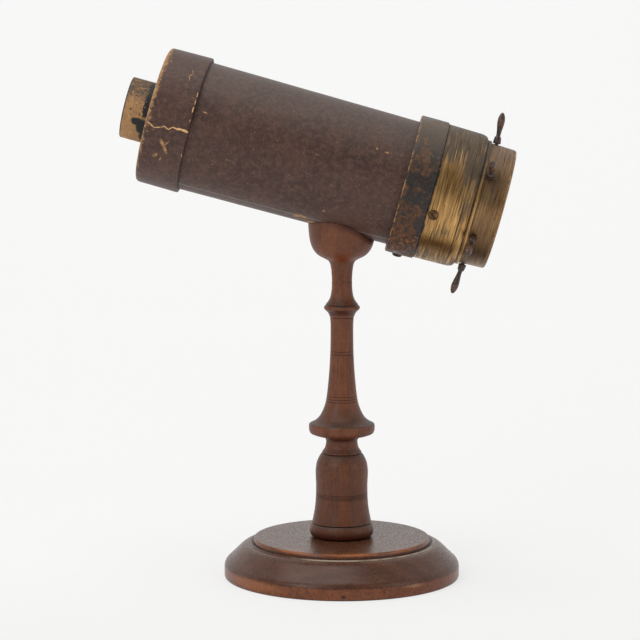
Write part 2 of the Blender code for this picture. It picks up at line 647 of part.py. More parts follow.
def object_end_band(barrel):
    """The painted pasteboard band behind the brass collar."""
    bore_r = tube_radius(BAND_BACK) + GLUE_GAP
    front_centre = (BAND_R - BAND_ROUND, BAND_FRONT - BAND_ROUND)
    back_centre = (BAND_R - BAND_ROUND, BAND_BACK + BAND_ROUND)
    profile = [(bore_r, BAND_FRONT)]
    profile += round_corner(front_centre, BAND_ROUND, 90, 0)
    profile += round_corner(back_centre, BAND_ROUND, 0, -90)
    profile.append((bore_r, BAND_BACK))
    return turned("object_end_band", profile, BARREL_STEPS, barrel, BLACK_PAINT, hollow=True)


def collar_packing(barrel):
    """The pasteboard wound on the tube to fill the brass collar."""
    inner_r = tube_radius(COLLAR_BACK) + GLUE_GAP
    outer_r = COLLAR_BORE_R - GLUE_GAP
    return ring("collar_packing", outer_r, inner_r, COLLAR_BACK, PACKING_FRONT, BARREL_STEPS, barrel,
                PASTEBOARD)


def brass_collar(barrel):
    """The spun brass collar: a skirt, a rounded shoulder and the neck that the drum turns in."""
    profile = [(NECK_BORE_R, COLLAR_NECK_FRONT), (COLLAR_NECK_R, COLLAR_NECK_FRONT)]
    shoulder_w = COLLAR_SHOULDER_R - COLLAR_NECK_R
    shoulder_h = COLLAR_NECK_BACK - COLLAR_SHOULDER
    for out_share, back_share in reversed(SHOULDER_SHARES):
        profile.append((COLLAR_NECK_R + out_share * shoulder_w, COLLAR_SHOULDER + back_share * shoulder_h))
    profile += [(COLLAR_BACK_R, COLLAR_BACK), (COLLAR_BORE_R, COLLAR_BACK), (COLLAR_BORE_R, COLLAR_SHOULDER)]
    inner_w = COLLAR_BORE_R - SHOULDER_POCKET_R
    profile.append((SHOULDER_POCKET_R + inner_w / 2, (COLLAR_SHOULDER + RING_BACK) / 2))
    profile += [
        (SHOULDER_POCKET_R, RING_BACK), (SHOULDER_POCKET_R, SHOULDER_INSIDE),
        (NECK_BORE_R, SHOULDER_INSIDE)]
    return turned("brass_collar", profile, BARREL_STEPS, barrel, BRASS, hollow=True)


# Screws


def screw(name, shank_l, place, parent, look):
    """A slotted round-headed screw, its head's seat at the place and its shank inwards."""
    profile = [(SCREW_HEAD_R * width, SCREW_HEAD_H * rise) for width, rise in HEAD_SHARES]
    profile += [(SCREW_HEAD_R, 0), (SCREW_SHANK_R, 0), (SCREW_SHANK_R, -shank_l), (0, -shank_l)]
    made = turned(name, profile, SCREW_STEPS, parent, look)
    set_place(made, place)
    slot = block(name + "_slot", (2 * SCREW_HEAD_R + CUT_OVERRUN, SCREW_SLOT_W, 2 * SCREW_SLOT_DEPTH), parent)
    head_top = place @ Matrix.Translation((0, 0, SCREW_HEAD_H))
    set_place(slot, head_top @ Matrix.Rotation(SCREW_SLOT_TURN, 4, "Z"))
    cut(made, slot)


def screw_hole(name, places, shank_l, parent):
    """A cutter that clears the shanks of screws at the given places."""
    length = shank_l + SCREW_HEAD_H + CUT_OVERRUN
    middle = Matrix.Translation((0, 0, SCREW_HEAD_H - length / 2 + CUT_OVERRUN / 2))
    return pegs(name, [place @ middle for place in places], SCREW_SHANK_R + GLUE_GAP, length, parent)


def collar_screws(barrel, pieces):
    """Two screws through the brass collar and its packing into the tube."""
    share = (COLLAR_SCREW_AT - COLLAR_BACK) / (COLLAR_SHOULDER - COLLAR_BACK)
    seat_r = COLLAR_BACK_R + share * (COLLAR_SHOULDER_R - COLLAR_BACK_R) + GLUE_GAP
    near_turn = COLLAR_SCREW_TURN - math.pi / 2
    places = []
    for name, turn in (("collar_screw_near", near_turn), ("collar_screw_far", near_turn + math.pi)):
        place = radial_place(turn, COLLAR_SCREW_AT, seat_r)
        screw(name, SCREW_SHANK_L, place, barrel, BRASS)
        places.append(place)
    holes = screw_hole("collar_screw_holes", places, SCREW_SHANK_L, barrel)
    for piece in pieces:
        cut(piece, holes)


def band_screw(barrel, pieces):
    """The screw under the band, through it into the tube."""
    place = radial_place(0, BAND_SCREW_AT, BAND_R + GLUE_GAP)
    screw("band_screw", BAND_SHANK_L, place, barrel, IRON)
    hole = screw_hole("band_screw_hole", [place], BAND_SHANK_L, barrel)
    for piece in pieces:
        cut(piece, hole)


def saddle_screw(barrel, pieces):
    """The screw and washer inside the tube that hold the barrel down in the saddle."""
    below = BARREL_AXIS_Z - (STEM_TOP_Z + CUP_LIP_Z) / 2
    along = below * math.sin(BARREL_SLOPE)
    wall_r = tube_radius(along) - TUBE_WALL - WASHER_SINK
    washer = ring("saddle_washer", WASHER_R, SCREW_SHANK_R + GLUE_GAP, 0, WASHER_T, SCREW_STEPS, barrel, IRON)
    washer_place = radial_place(0, along, wall_r) @ Matrix.Rotation(math.pi, 4, "X")
    set_place(washer, washer_place)
    seat = washer_place @ Matrix.Translation((0, 0, WASHER_T + GLUE_GAP))
    screw("saddle_screw", SADDLE_SHANK_L, seat, barrel, IRON)
    hole = screw_hole("saddle_screw_hole", [seat], SADDLE_SHANK_L, barrel)
    for piece in pieces:
        cut(piece, hole)


# The turning object cell


def cell_ring(cell):
    """The brass ring: front lip, spoked drum, and the rear flange behind the collar's shoulder."""
    lip_r = RING_BORE_R - RING_LIP_W
    flange_r = RING_DRUM_R + RING_FLANGE_W
    edge = (RING_FRONT_R - RING_ROUND, RING_FRONT - RING_ROUND)
    profile = [(lip_r, RING_FRONT)]
    profile += round_corner(edge, RING_ROUND, 90, 0)
    profile += [
        (RING_DRUM_R, COLLAR_NECK_FRONT), (RING_DRUM_R, RING_FLANGE_FRONT), (flange_r, RING_FLANGE_FRONT),
        (flange_r, RING_BACK), (RING_BORE_R, RING_BACK), (RING_BORE_R, RING_LIP_BACK), (lip_r, RING_LIP_BACK)]
    return turned("cell_ring", profile, BARREL_STEPS, cell, DULL_BRASS, hollow=True)


def cell_glazing(cell):
    """The two glasses, the ring that spaces them and the spring clip behind them."""
    outer_front = OUTER_GLASS_BACK + CELL_GLASS_T
    inner_front = INNER_GLASS_BACK + CELL_GLASS_T
    clip_front = CLIP_BACK + CLIP_T
    disc("outer_glass", CELL_FIT_R, OUTER_GLASS_BACK, outer_front, LINING_STEPS, cell, GLASS, GLASS_ALPHA)
    ring("cell_spacer", CELL_FIT_R, CELL_FLOOR_R, SPACER_BACK, SPACER_FRONT, LINING_STEPS, cell, PASTEBOARD)
    disc("inner_glass", CELL_FIT_R, INNER_GLASS_BACK, inner_front, LINING_STEPS, cell, GLASS, GLASS_ALPHA)
    ring("glass_clip", CELL_FIT_R, CELL_FIT_R - CLIP_W, CLIP_BACK, clip_front, LINING_STEPS, cell, DULL_BRASS)


def spokes(cell, drum):
    """Turned spokes evenly round the ring, each with a stud through the drum's wall."""
    profile = [(0, SPOKE_L), (SPOKE_NECK_R * SPOKE_TIP_SHARE, SPOKE_L)]
    for rise, width in reversed(SPOKE_GRIP_SHARES):
        profile.append((SPOKE_NECK_R + width * (SPOKE_BULB_R - SPOKE_NECK_R), rise * SPOKE_L))
    for rise, width in reversed(SPOKE_ROOT_SHARES):
        profile.append((SPOKE_ROOT_R * width, rise * SPOKE_ROOT_H))
    stud_l = RING_WALL + SPOKE_SEAT_RISE
    profile += [(SPOKE_STUD_R, 0), (SPOKE_STUD_R, -stud_l), (0, -stud_l)]
    places = []
    for index in range(SPOKE_COUNT):
        turn = math.pi + index * 2 * math.pi / SPOKE_COUNT
        place = radial_place(turn, SPOKE_PLANE, RING_DRUM_R + SPOKE_SEAT_RISE, SPOKE_RAKE)
        spoke = turned("spoke_" + str(index + 1), profile, SPOKE_STEPS, cell, DARK_WOOD)
        set_place(spoke, place)
        places.append(place @ Matrix.Translation((0, 0, -RING_WALL / 2)))
    cut(drum, pegs("spoke_holes", places, SPOKE_STUD_R + GLUE_GAP, RING_WALL + 2 * CUT_OVERRUN, cell))


def glass_bits(cell):
    """Loose coloured glass lying two deep on the cell's floor: rods, beads and cut pieces."""
    pitch = 2 * BIT_R + GLUE_GAP
    low_r = CELL_FLOOR_R - GLUE_GAP - BIT_R
    half_turn = math.asin(pitch / (2 * low_r))
    high_r = low_r * math.cos(half_turn) - pitch * math.cos(math.pi / 6)
    length = CELL_DEPTH - 2 * BIT_END_ROOM
    middle = (SPACER_BACK + SPACER_FRONT) / 2
    low_row = (("rod", "ruby"), ("bead", "cobalt"), ("shard", "green"), ("rod", "amber"), ("shard", "violet"),
               ("bead", "ruby"))
    high_row = (("shard", "amber"), ("rod", "green"), ("bead", "violet"))
    for row, radius, step in ((low_row, low_r, 2 * half_turn), (high_row, high_r, 4 * half_turn)):
        for index, (kind, colour) in enumerate(row):
            turn = step * (index - (len(row) - 1) / 2)
            bit = glass_bit("glass_" + kind + "_" + colour, kind, colour, length, cell)
            bit.location = (math.cos(turn) * radius, math.sin(turn) * radius, middle)
            bit.rotation_euler = (0, 0, turn)


def glass_bit(name, kind, colour, length, cell):
    """One loose piece: a rod or a shard along the barrel, or a bead."""
    mesh = bpy.data.meshes.new(name)
    shape = bmesh.new()
    if kind == "bead":
        bmesh.ops.create_uvsphere(shape, u_segments=PEG_STEPS, v_segments=BEAD_RINGS, radius=BIT_R)
    else:
        sides = PEG_STEPS if kind == "rod" else SHARD_SIDES
        width = BIT_R if kind == "rod" else BIT_R * SHARD_SHARE
        bmesh.ops.create_cone(
            shape, cap_ends=True, segments=sides, radius1=width, radius2=width,
            depth=length if kind == "rod" else length * SHARD_LENGTH_SHARE)
    shape.to_mesh(mesh)
    shape.free()
    return add_object(name, mesh, cell, (BIT_COLOURS[colour], GLASS[1], 0.0), BIT_ALPHA)


def build():
    """Make every piece in its frame."""
    barrel = frame_empty("barrel_axis")
    barrel.location = (0, 0, BARREL_AXIS_Z)
    barrel.rotation_euler = (0, math.pi / 2 + BARREL_SLOPE, 0)
    cell = frame_empty("cell_turn", barrel)
    bpy.context.view_layer.update()

    base_plate()
    foot_turning()
    stem_turning()
    cup = saddle_cup(barrel)

    tube = barrel_tube(barrel)
    eye_cap(barrel)
    eye_tube(barrel)
    eye_optics(barrel)
    mirrors(barrel)
    mirror_back_strip(barrel)
    mirror_seats(barrel)
    band = object_end_band(barrel)
    packing = collar_packing(barrel)
    collar = brass_collar(barrel)
    collar_screws(barrel, (collar, packing, tube))
    band_screw(barrel, (band, tube))
    saddle_screw(barrel, (tube, cup))

    drum = cell_ring(cell)
    cell_glazing(cell)
    spokes(cell, drum)
    glass_bits(cell)
    bpy.context.view_layer.update()


build()
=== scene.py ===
"""The parlour kaleidoscope, finished and photographed.

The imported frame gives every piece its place. The file follows the object as it is put together: the turned stand from
its base up, the covered barrel with its mirrors, the eye end, and the object end with its turning cell of loose glass.
"""
import json
import math
import random

import bmesh
import bpy
from mathutils import Matrix, Vector


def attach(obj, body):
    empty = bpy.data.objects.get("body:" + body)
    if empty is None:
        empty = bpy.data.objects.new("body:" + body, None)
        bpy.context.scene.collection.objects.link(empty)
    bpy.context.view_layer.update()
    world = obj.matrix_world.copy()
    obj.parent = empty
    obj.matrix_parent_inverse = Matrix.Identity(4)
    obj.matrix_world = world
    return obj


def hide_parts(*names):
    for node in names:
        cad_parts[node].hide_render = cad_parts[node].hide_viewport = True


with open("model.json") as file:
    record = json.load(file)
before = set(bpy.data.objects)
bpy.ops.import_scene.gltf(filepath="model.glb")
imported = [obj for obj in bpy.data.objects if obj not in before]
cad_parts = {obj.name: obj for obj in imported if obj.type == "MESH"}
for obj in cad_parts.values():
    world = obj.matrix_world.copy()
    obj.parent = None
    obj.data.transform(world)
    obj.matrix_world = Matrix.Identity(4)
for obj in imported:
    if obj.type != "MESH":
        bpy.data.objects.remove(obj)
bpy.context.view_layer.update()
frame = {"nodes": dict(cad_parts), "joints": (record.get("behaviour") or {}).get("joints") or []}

MM = 0.001


# Camera
# A long lens one and a half metres away, a little above the barrel, looks slightly down on the object from its side.
CAMERA_PLACE = (0.03795, -1.49919, 0.3383)
CAMERA_DOWN = math.radians(6.4)
CAMERA_SIDE = math.radians(2.0)
CAMERA_LENS = 129.375

bpy.ops.object.camera_add(location=CAMERA_PLACE, rotation=(math.pi / 2 - CAMERA_DOWN, 0, CAMERA_SIDE))
camera = bpy.context.object
camera.data.lens = CAMERA_LENS
camera.data.sensor_width = 36
camera.data.clip_end = 30
bpy.context.scene.camera = camera
bpy.context.scene.view_settings.view_transform = "Standard"


# Studio
# A sheet of white paper runs under the object and up behind it, and the room in front of it is dimmer. Three large
# cloth panels, overhead, in front and to the right, light the object softly and lay a faint shadow round its base.
PAPER = "#f7f7f7"
SOFT_LIGHT = "#fbfaf8"
SOFT_LIGHT_LEVEL = 0.5
DIM_ROOM, DIM_FROM, DIM_TO = 0.22, -0.45, 0.4
PAPER_GLOW = 0.7
FRONT_LEVEL, FLOOR_LEVEL, BACK_LEVEL = 0.96, 1.03, 1.11
FRONT_FROM, FRONT_TO, BACK_FROM, BACK_TO = -0.2, 0.05, 0.3, 1.5
PAPER_SIDE = 9.0
PAPER_BACK = 2.5
PAPER_BEND = 0.9
PAPER_BEND_PARTS = 16
PAPER_HEIGHT = 4.0
PAPER_BELOW = 0.05 * MM


def linear(colour):
    """An sRGB hex colour as linear red, green, blue and alpha."""
    shares = [int(colour[place:place + 2], 16) / 255 for place in (1, 3, 5)]
    return (*(s / 12.92 if s <= 0.04045 else ((s + 0.055) / 1.055) ** 2.4 for s in shares), 1.0)


def feed(tree, node, inputs):
    """Gives a node's inputs, named or in order, their values.

    A value is a number, an sRGB hex colour, the name of a mark on the piece, or a link from another node."""
    for key, value in (inputs if isinstance(inputs, dict) else dict(enumerate(inputs))).items():
        if isinstance(value, str):
            is_colour = value.startswith("#")
            value = linear(value) if is_colour else add_node(tree, "Attribute", attribute_name=value).outputs["Fac"]
        if isinstance(value, bpy.types.Node):
            value = value.outputs[0]
        if isinstance(value, bpy.types.NodeSocket):
            tree.links.new(value, node.inputs[key])
        else:
            node.inputs[key].default_value = value


def add_node(tree, kind, inputs=(), operation=None, **settings):
    """A node with its operation and settings, fed with its inputs.

    In order, a MapRange's inputs are the value, its least and most, and what they become: 0 and 1 if not given."""
    node = tree.nodes.new("ShaderNode" + kind)
    if operation:
        node.operation = operation
    for name, value in settings.items():
        setattr(node, name, value)
    feed(tree, node, inputs)
    return node


def seen_rays(tree):
    """One for the rays that look at a surface, straight or in a reflection or through glass."""
    path = add_node(tree, "LightPath").outputs
    mirrored = add_node(tree, "Math", (path["Is Glossy Ray"], path["Is Transmission Ray"]), "MAXIMUM")
    return add_node(tree, "Math", (path["Is Camera Ray"], mirrored), "MAXIMUM")


world = bpy.data.worlds.new("studio_light")
bpy.context.scene.world = world
world.use_nodes = True
tree = world.node_tree
tree.nodes.clear()
light = add_node(tree, "Background", {"Color": SOFT_LIGHT, "Strength": SOFT_LIGHT_LEVEL})
ahead = add_node(tree, "SeparateXYZ", {0: add_node(tree, "TexCoord").outputs["Generated"]}).outputs["Y"]
level = add_node(tree, "MapRange", (ahead, DIM_FROM, DIM_TO, DIM_ROOM))
straight = add_node(tree, "LightPath").outputs["Is Camera Ray"]
level = add_node(tree, "Math", (level, straight), "MAXIMUM")
sky = add_node(tree, "Background", {"Color": PAPER, "Strength": level})
both = add_node(tree, "MixShader", (seen_rays(tree), light, sky))
add_node(tree, "OutputWorld", {"Surface": both})

bpy.ops.object.select_all(action="DESELECT")
bpy.ops.mesh.primitive_plane_add(size=PAPER_SIDE, location=(0, PAPER_BACK - PAPER_SIDE / 2, -PAPER_BELOW))
paper = bpy.context.object
paper.name = "paper_sweep"
bpy.ops.object.transform_apply(location=True)
bpy.ops.object.mode_set(mode="EDIT")
bpy.ops.mesh.select_all(action="DESELECT")
bpy.ops.mesh.select_mode(type="EDGE")
for edge in bmesh.from_edit_mesh(paper.data).edges:
    edge.select_set(all(corner.co.y > PAPER_BACK - MM for corner in edge.verts))
bpy.ops.mesh.extrude_region_move(TRANSFORM_OT_translate={"value": (0, 0, PAPER_HEIGHT)})
bpy.ops.mesh.select_all(action="DESELECT")
for edge in bmesh.from_edit_mesh(paper.data).edges:
    edge.select_set(all(corner.co.y > PAPER_BACK - MM and corner.co.z < MM for corner in edge.verts))
bpy.ops.mesh.bevel(offset=PAPER_BEND, segments=PAPER_BEND_PARTS)
bpy.ops.mesh.select_mode(type="VERT")
bpy.ops.object.mode_set(mode="OBJECT")
bpy.ops.object.shade_smooth()
paper_finish = bpy.data.materials.new("white_background_paper")
paper_finish.use_nodes = True
tree = paper_finish.node_tree
tree.nodes.clear()
matt = add_node(tree, "BsdfDiffuse", {"Color": PAPER})
# Painted light and shade: the paper's glow is dimmer towards the front and brighter behind, graded along its depth.
back = add_node(tree, "SeparateXYZ", {0: add_node(tree, "TexCoord").outputs["Object"]}).outputs["Y"]
near = add_node(tree, "MapRange", (back, FRONT_FROM, FRONT_TO, FRONT_LEVEL, FLOOR_LEVEL))
far = add_node(tree, "MapRange", (back, BACK_FROM, BACK_TO, 0, BACK_LEVEL - FLOOR_LEVEL))
level = add_node(tree, "Math", (near, far), "ADD")
glow = add_node(tree, "Emission", {"Color": PAPER, "Strength": level})
share = add_node(tree, "Math", (seen_rays(tree), PAPER_GLOW), "MULTIPLY")
both = add_node(tree, "MixShader", (share, matt, glow))
add_node(tree, "OutputMaterial", {"Surface": both})
paper.data.materials.append(paper_finish)


def soft_panel(name, place, size, power, looks_at=(0, 0, 0.2)):
    """A cloth panel with a lamp behind it."""
    bpy.ops.object.light_add(type="AREA", location=place)
    lamp = bpy.context.object
    lamp.name = name
    lamp.data.shape = "RECTANGLE"
    lamp.data.size, lamp.data.size_y = size
    lamp.data.energy = power
    lamp.data.color = linear(SOFT_LIGHT)[:3]
    lamp.rotation_euler = (Vector(looks_at) - Vector(place)).to_track_quat("-Z", "Y").to_euler()
    return lamp


soft_panel("overhead_panel", (-0.5, -0.3, 2.2), (1.8, 1.8), 22)
soft_panel("front_panel", (-1.5, -1.9, 1.3), (1.5, 1.5), 18)
soft_panel("right_panel", (2.2, -1.2, 1.0), (1.4, 1.4), 9)


# Base plate
# A thick disc of stained mahogany, faced on the lathe with its grain running across, with an ogee edge and a raised
# table. Its rim has rubbed back to orange wood, and old dust lies in the groove round the table.
BASE_LINE = (
    (0, 0), (76.6, 0), ((77.35, 0.22), (77.66, 0.9)), ((77.68, 4), (77.66, 7.5)), ((77.5, 8.3), (76.62, 10.25),
    (74.5, 12.4), (71.5, 15.25), (68, 18.7), (65.7, 20.6), (63.6, 21.7), (61.9, 22.05)), ((61.5, 22.15),
    (61.35, 22.5), (61.1, 22.8), (60.6, 22.9)), ((59.8, 22.7), (59.2, 22.1), (58.8, 22.02), (58.5, 22.4),
    (58.42, 23.1)), ((58.3, 24), (57.95, 25.1), (57.7, 25.7), (57.1, 25.97), (56.5, 26)), ((21.5, 26), (11.3, 26)),
    (11.3, 12), (0, 12))
BASE_TURNS = 192
CURVE_PARTS = 4
LONGEST_STEP = 1.6 * MM
SHARP_ANGLE = math.radians(32)
WELD = 0.004 * MM
SCUFF_REACH = 12 * MM


def drawn_line(profile):
    """The points of a profile, in metres, from its (radius, height) corners in millimetres.

    A corner is reached in a straight line, and a group of corners in one smooth curve from the corner before it."""
    line, last = [], ()
    for step in profile:
        run = (*last, *(step if isinstance(step[0], tuple) else (step,)))
        last = run[-1:]
        if len(run) < 2:
            continue
        points = [Vector(point) * MM for point in run]
        lengths = [(b - a).length for a, b in zip(points, points[1:])]
        leads = [(points[1] - points[0]) / lengths[0]]
        for before, here, after, back, on in zip(points, points[1:], points[2:], lengths, lengths[1:]):
            leads.append(((here - before) * on / back + (after - here) * back / on) / (back + on))
        leads.append((points[-1] - points[-2]) / lengths[-1])
        for a, b, lead_a, lead_b, length in zip(points, points[1:], leads, leads[1:], lengths):
            parts = max(CURVE_PARTS if len(run) > 2 else 1, math.ceil(length / LONGEST_STEP))
            for part in range(parts):
                t = part / parts
                bend = (t ** 3 - 2 * t ** 2 + t) * length * lead_a + (t ** 3 - t ** 2) * length * lead_b
                line.append((2 * t ** 3 - 3 * t ** 2 + 1) * a + (3 * t ** 2 - 2 * t ** 3) * b + bend)
    return [*line, points[-1]]


def turn_piece(name, line, turns, hollow=False):
    """Turns a piece: one point is drawn along the profile, and the line is spun about the Z axis and closed.

    A hollow piece's profile goes all round its wall, and its last point is joined to its first."""
    bpy.ops.object.select_all(action="DESELECT")
    bpy.ops.mesh.primitive_plane_add(size=MM, location=(0, 0, 0))
    piece = bpy.context.object
    piece.name = piece.data.name = name
    bpy.ops.object.mode_set(mode="EDIT")
    bpy.ops.mesh.select_all(action="SELECT")
    bpy.ops.mesh.merge(type="CENTER")
    bpy.ops.transform.translate(value=(line[0][0], 0, line[0][1]))
    for a, b in zip(line, line[1:]):
        bpy.ops.mesh.extrude_region_move(TRANSFORM_OT_translate={"value": (b[0] - a[0], 0, b[1] - a[1])})
    bpy.ops.mesh.select_all(action="SELECT")
    if hollow:
        shape = bmesh.from_edit_mesh(piece.data)
        for point in shape.verts:
            point.select_set(len(point.link_edges) == 1)
        bpy.ops.mesh.edge_face_add()
        bpy.ops.mesh.select_all(action="SELECT")
    bpy.ops.mesh.spin(steps=turns, angle=2 * math.pi, center=(0, 0, 0), axis=(0, 0, 1), use_auto_merge=True)
    bpy.ops.mesh.select_all(action="SELECT")
    bpy.ops.mesh.remove_doubles(threshold=WELD)
    bpy.ops.mesh.normals_make_consistent(inside=False)
    bpy.ops.object.mode_set(mode="OBJECT")
    bpy.ops.object.shade_smooth_by_angle(angle=SHARP_ANGLE)
    return piece


def rub(piece, name, bands, fade=0.5, share=None):
    """Marks rings of a turned piece in an attribute: each band is (from radius, to radius, from height, to height).

    share thins the marks by their place, if it is given."""
    marks = piece.data.attributes.new(name, "FLOAT", "POINT")
    for point, mark in zip(piece.data.vertices, marks.data):
        radius, height = math.hypot(point.co.x, point.co.y) / MM, point.co.z / MM
        for low_r, high_r, low, high in bands:
            outside = max(low_r - radius, radius - high_r, low - height, height - high, 0)
            mark.value = max(mark.value, 1 - outside / fade)
        if share:
            mark.value *= share(point.co / MM)


def patches(place, size, low, high, stretch=(1, 1, 1), detail=3.0, waver=0.0):
    """One in patches of about the given size in millimetres, nought between them, and soft from low to high."""
    tree = place.id_data
    scaled = add_node(tree, "VectorMath", (place, [s / (size * MM) for s in stretch]), "MULTIPLY")
    cloud = add_node(tree, "TexNoise", {"Vector": scaled, "Scale": 1.0, "Detail": detail, "Roughness": 0.55,
                                        "Distortion": waver})
    return add_node(tree, "MapRange", (cloud.outputs["Fac"], low, high), interpolation_type="SMOOTHSTEP")


def lay(tree, under, *coats):
    """Coats of colour laid one over the other, each as far as its masks and its strength, multiplied, let it."""
    for over, share, *others in coats:
        for other in others:
            share = add_node(tree, "Math", (share, other), "MULTIPLY")
        under = add_node(tree, "Mix", {0: share, 6: under, 7: over}, data_type="RGBA").outputs[2]
    return under


def frayed(name, place, size):
    """One where an attribute of the piece is high, breaking up into spots where it fades."""
    edge = add_node(place.id_data, "Math", (name, patches(place, size, 0.2, 0.8, detail=6.0)), "ADD")
    return add_node(place.id_data, "MapRange", (edge, 0.85, 1.45))


def scuff(place, along, turn, radius, wide, long, grain, wander, slant=0, soft=0.15):
    """One in a ragged spot on a round piece, its middle so far along the axis and turned so far about it."""
    tree = place.id_data
    cloud = add_node(tree, "VectorMath", (place, [1 / grain / MM] * 3), "MULTIPLY")
    cloud = add_node(tree, "TexNoise", {"Vector": cloud, "Scale": 1.0, "Detail": 3.0})
    drift = add_node(tree, "VectorMath", (cloud.outputs["Color"], (0.5, 0.5, 0.5)), "SUBTRACT")
    drift = add_node(tree, "VectorMath", (drift, [wander * MM] * 3), "MULTIPLY")
    moved = add_node(tree, "VectorMath", (place, drift), "ADD")
    angle = math.radians(turn)
    middle = (math.cos(angle) * radius * MM, math.sin(angle) * radius * MM, along * MM)
    local = add_node(tree, "Mapping", {
        "Vector": moved, "Location": middle, "Rotation": (math.radians(slant), 0, angle),
        "Scale": (SCUFF_REACH, wide * MM, long * MM)}, vector_type="TEXTURE")
    reach = add_node(tree, "VectorMath", {0: local}, "LENGTH").outputs["Value"]
    return add_node(tree, "MapRange", (reach, 1 + soft, 1 - soft))


def new_finish(name, **constants):
    """A material, its node tree and its coordinates, with the shader's unpatterned values on its own sockets."""
    made = bpy.data.materials.new(name)
    made.use_nodes = True
    feed_shader(made, **constants)
    return made, made.node_tree, add_node(made.node_tree, "TexCoord").outputs["Object"]


def feed_shader(made, **inputs):
    """Feeds a finish's surface shader: its sockets are named with _ for a space."""
    shader = made.node_tree.nodes["Principled BSDF"]
    feed(made.node_tree, shader, {socket.replace("_", " "): value for socket, value in inputs.items()})


def end_finish(made, tone, rough, relief=None, depth=0.03, strength=0.5, **others):
    """Ends a finish with its colour, its roughness and its relief, so many millimetres deep.

    rough is one number, or a mask with the roughness where it is nought and where it is one."""
    tree = made.node_tree
    if isinstance(rough, tuple):
        mask, least, most = rough
        rough = add_node(tree, "MapRange", (mask, 0, 1, least, most))
    if relief:
        others["Normal"] = add_node(tree, "Bump", {"Height": relief, "Distance": depth * MM, "Strength": strength})
    feed_shader(made, Base_Color=tone, Roughness=rough, **others)
    return made


def stained_wood(name, grain, deep, middle, light, film, dulled, gloss, marks=()):
    """Mahogany, stained and shellac polished: streaked along its grain, ringed by the lathe, with dust and painted
    sheen and shade on top.

    dulled is how flat a face must lie to be filmed at all, and how thick the film is where it lies level. gloss is
    the least and the most roughness, and how strongly the polish mirrors."""
    made, tree, place = new_finish(name, IOR=1.5, Specular_IOR_Level=gloss[2])
    figure = patches(place, 5, 0.34, 0.66, stretch=grain, waver=0.4)
    fibre = patches(place, 0.75, 0.3, 0.72, stretch=grain)
    pores = patches(place, 0.5, 0.6, 0.7, stretch=grain, detail=2.0)
    blotch = patches(place, 17, 0.42, 0.64)
    mottle = patches(place, 2.2, 0.4, 0.66, detail=4.0)
    speckle = patches(place, 1.1, 0.42, 0.6, detail=3.0)
    rings = patches(place, 0.6, 0.45, 0.7, stretch=(0.012, 0.012, 1), detail=2.0)
    faces = add_node(tree, "SeparateXYZ", {0: add_node(tree, "NewGeometry").outputs["Normal"]}).outputs["Z"]
    # Dust with painted sheen and shade: faces that look up take the film colour, grey-dark on the upright pieces.
    top_dust_and_painted_shade = add_node(tree, "MapRange", (faces, dulled[0], 1.0, 0, dulled[1]))
    uneven = add_node(tree, "MapRange", (speckle, 0, 1, 0.4))
    thin = add_node(tree, "MapRange", (patches(place, 11, 0.4, 0.62, detail=5.0), 0, 1, 1.0, 0.55))
    worn = frayed("worn", place, 3.0)
    rubbed = lay(tree, "#733f23", ("#8c4e2c", mottle), ("#512a18", fibre, 0.5))
    broken = patches(place, 16, 0.3, 0.5)
    right = add_node(tree, "MapRange", (add_node(tree, "SeparateXYZ", {0: place}).outputs["X"], -34 * MM, -14 * MM))
    # groove_dirt_and_shade is dark dirt in the cut lines, and painted shade where a piece meets the floor or another
    # piece.
    # stain_and_shade darkens undersides and the roll's foot with stain and painted shade.
    body = lay(tree, deep, (middle, figure), (light, fibre, 0.45), (deep, blotch, 0.35), (light, mottle, 0.25),
               ("#351a0e", rings, 0.2), ("#26130b", pores, 0.25), ("#431905", "stain_and_shade", 0.95),
               (film, top_dust_and_painted_shade, uneven, thin), (rubbed, worn, 0.8), ("#180a05", "groove_dirt_and_shade", 0.95),
               ("#a19484", broken, right, "dust_line"))
    for colour, strength, *spot in marks:
        body = lay(tree, body, (colour, scuff(place, *spot, soft=0.35), strength))
    relief = add_node(tree, "Math", (fibre, rings), "ADD")
    return end_finish(made, body, (speckle, *gloss[:2]), relief, 0.014)


def fit(piece, finish, slot, body, *nodes):
    """Gives a piece its finish and its place in the frame."""
    piece.data.materials.clear()
    piece.data.materials.append(finish)
    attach(piece, body)
    if nodes:
        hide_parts(*nodes)


GRAIN_ACROSS = (0.07, 1, 1)
RIM_MARKS = [
    ("#a3805f", 0.5, 6.9, -52, 77.6, 6.8, 0.9, 2.0, 2.0), ("#26140c", 0.85, 2.8, -87.7, 77.6, 1.5, 1.1, 1.2, 1.4),
    ("#2e1a10", 0.6, 7.8, -131, 77.6, 2.2, 0.6, 1.5, 1.5), ("#8f5a34", 0.4, 25.6, -96, 57.6, 4.0, 0.5, 1.5, 1.5),
    ("#3a2216", 0.5, 4.6, -68, 77.6, 0.8, 2.4, 1.5, 1.5), ("#3a2216", 0.5, 3.6, -110, 77.6, 0.6, 1.8, 1.5, 1.5),
    ("#a3663c", 0.4, 5.0, -136, 77.6, 24, 3.2, 1.6, 4.0), ("#ad6d43", 0.6, 25.3, -122, 57.6, 13, 0.7, 2.0, 1.0),
    ("#ad6d43", 0.6, 25.2, -80, 57.6, 15, 0.7, 2.0, 1.0), ("#a5653c", 0.6, 25.2, -45, 57.6, 11, 0.7, 2.0, 1.0)]
base = turn_piece("mahogany_base", drawn_line(BASE_LINE), BASE_TURNS)
rub(base, "worn", [(77, 78, 0.9, 7.4), (57.4, 58.4, 24.3, 25.7)], fade=0.7)
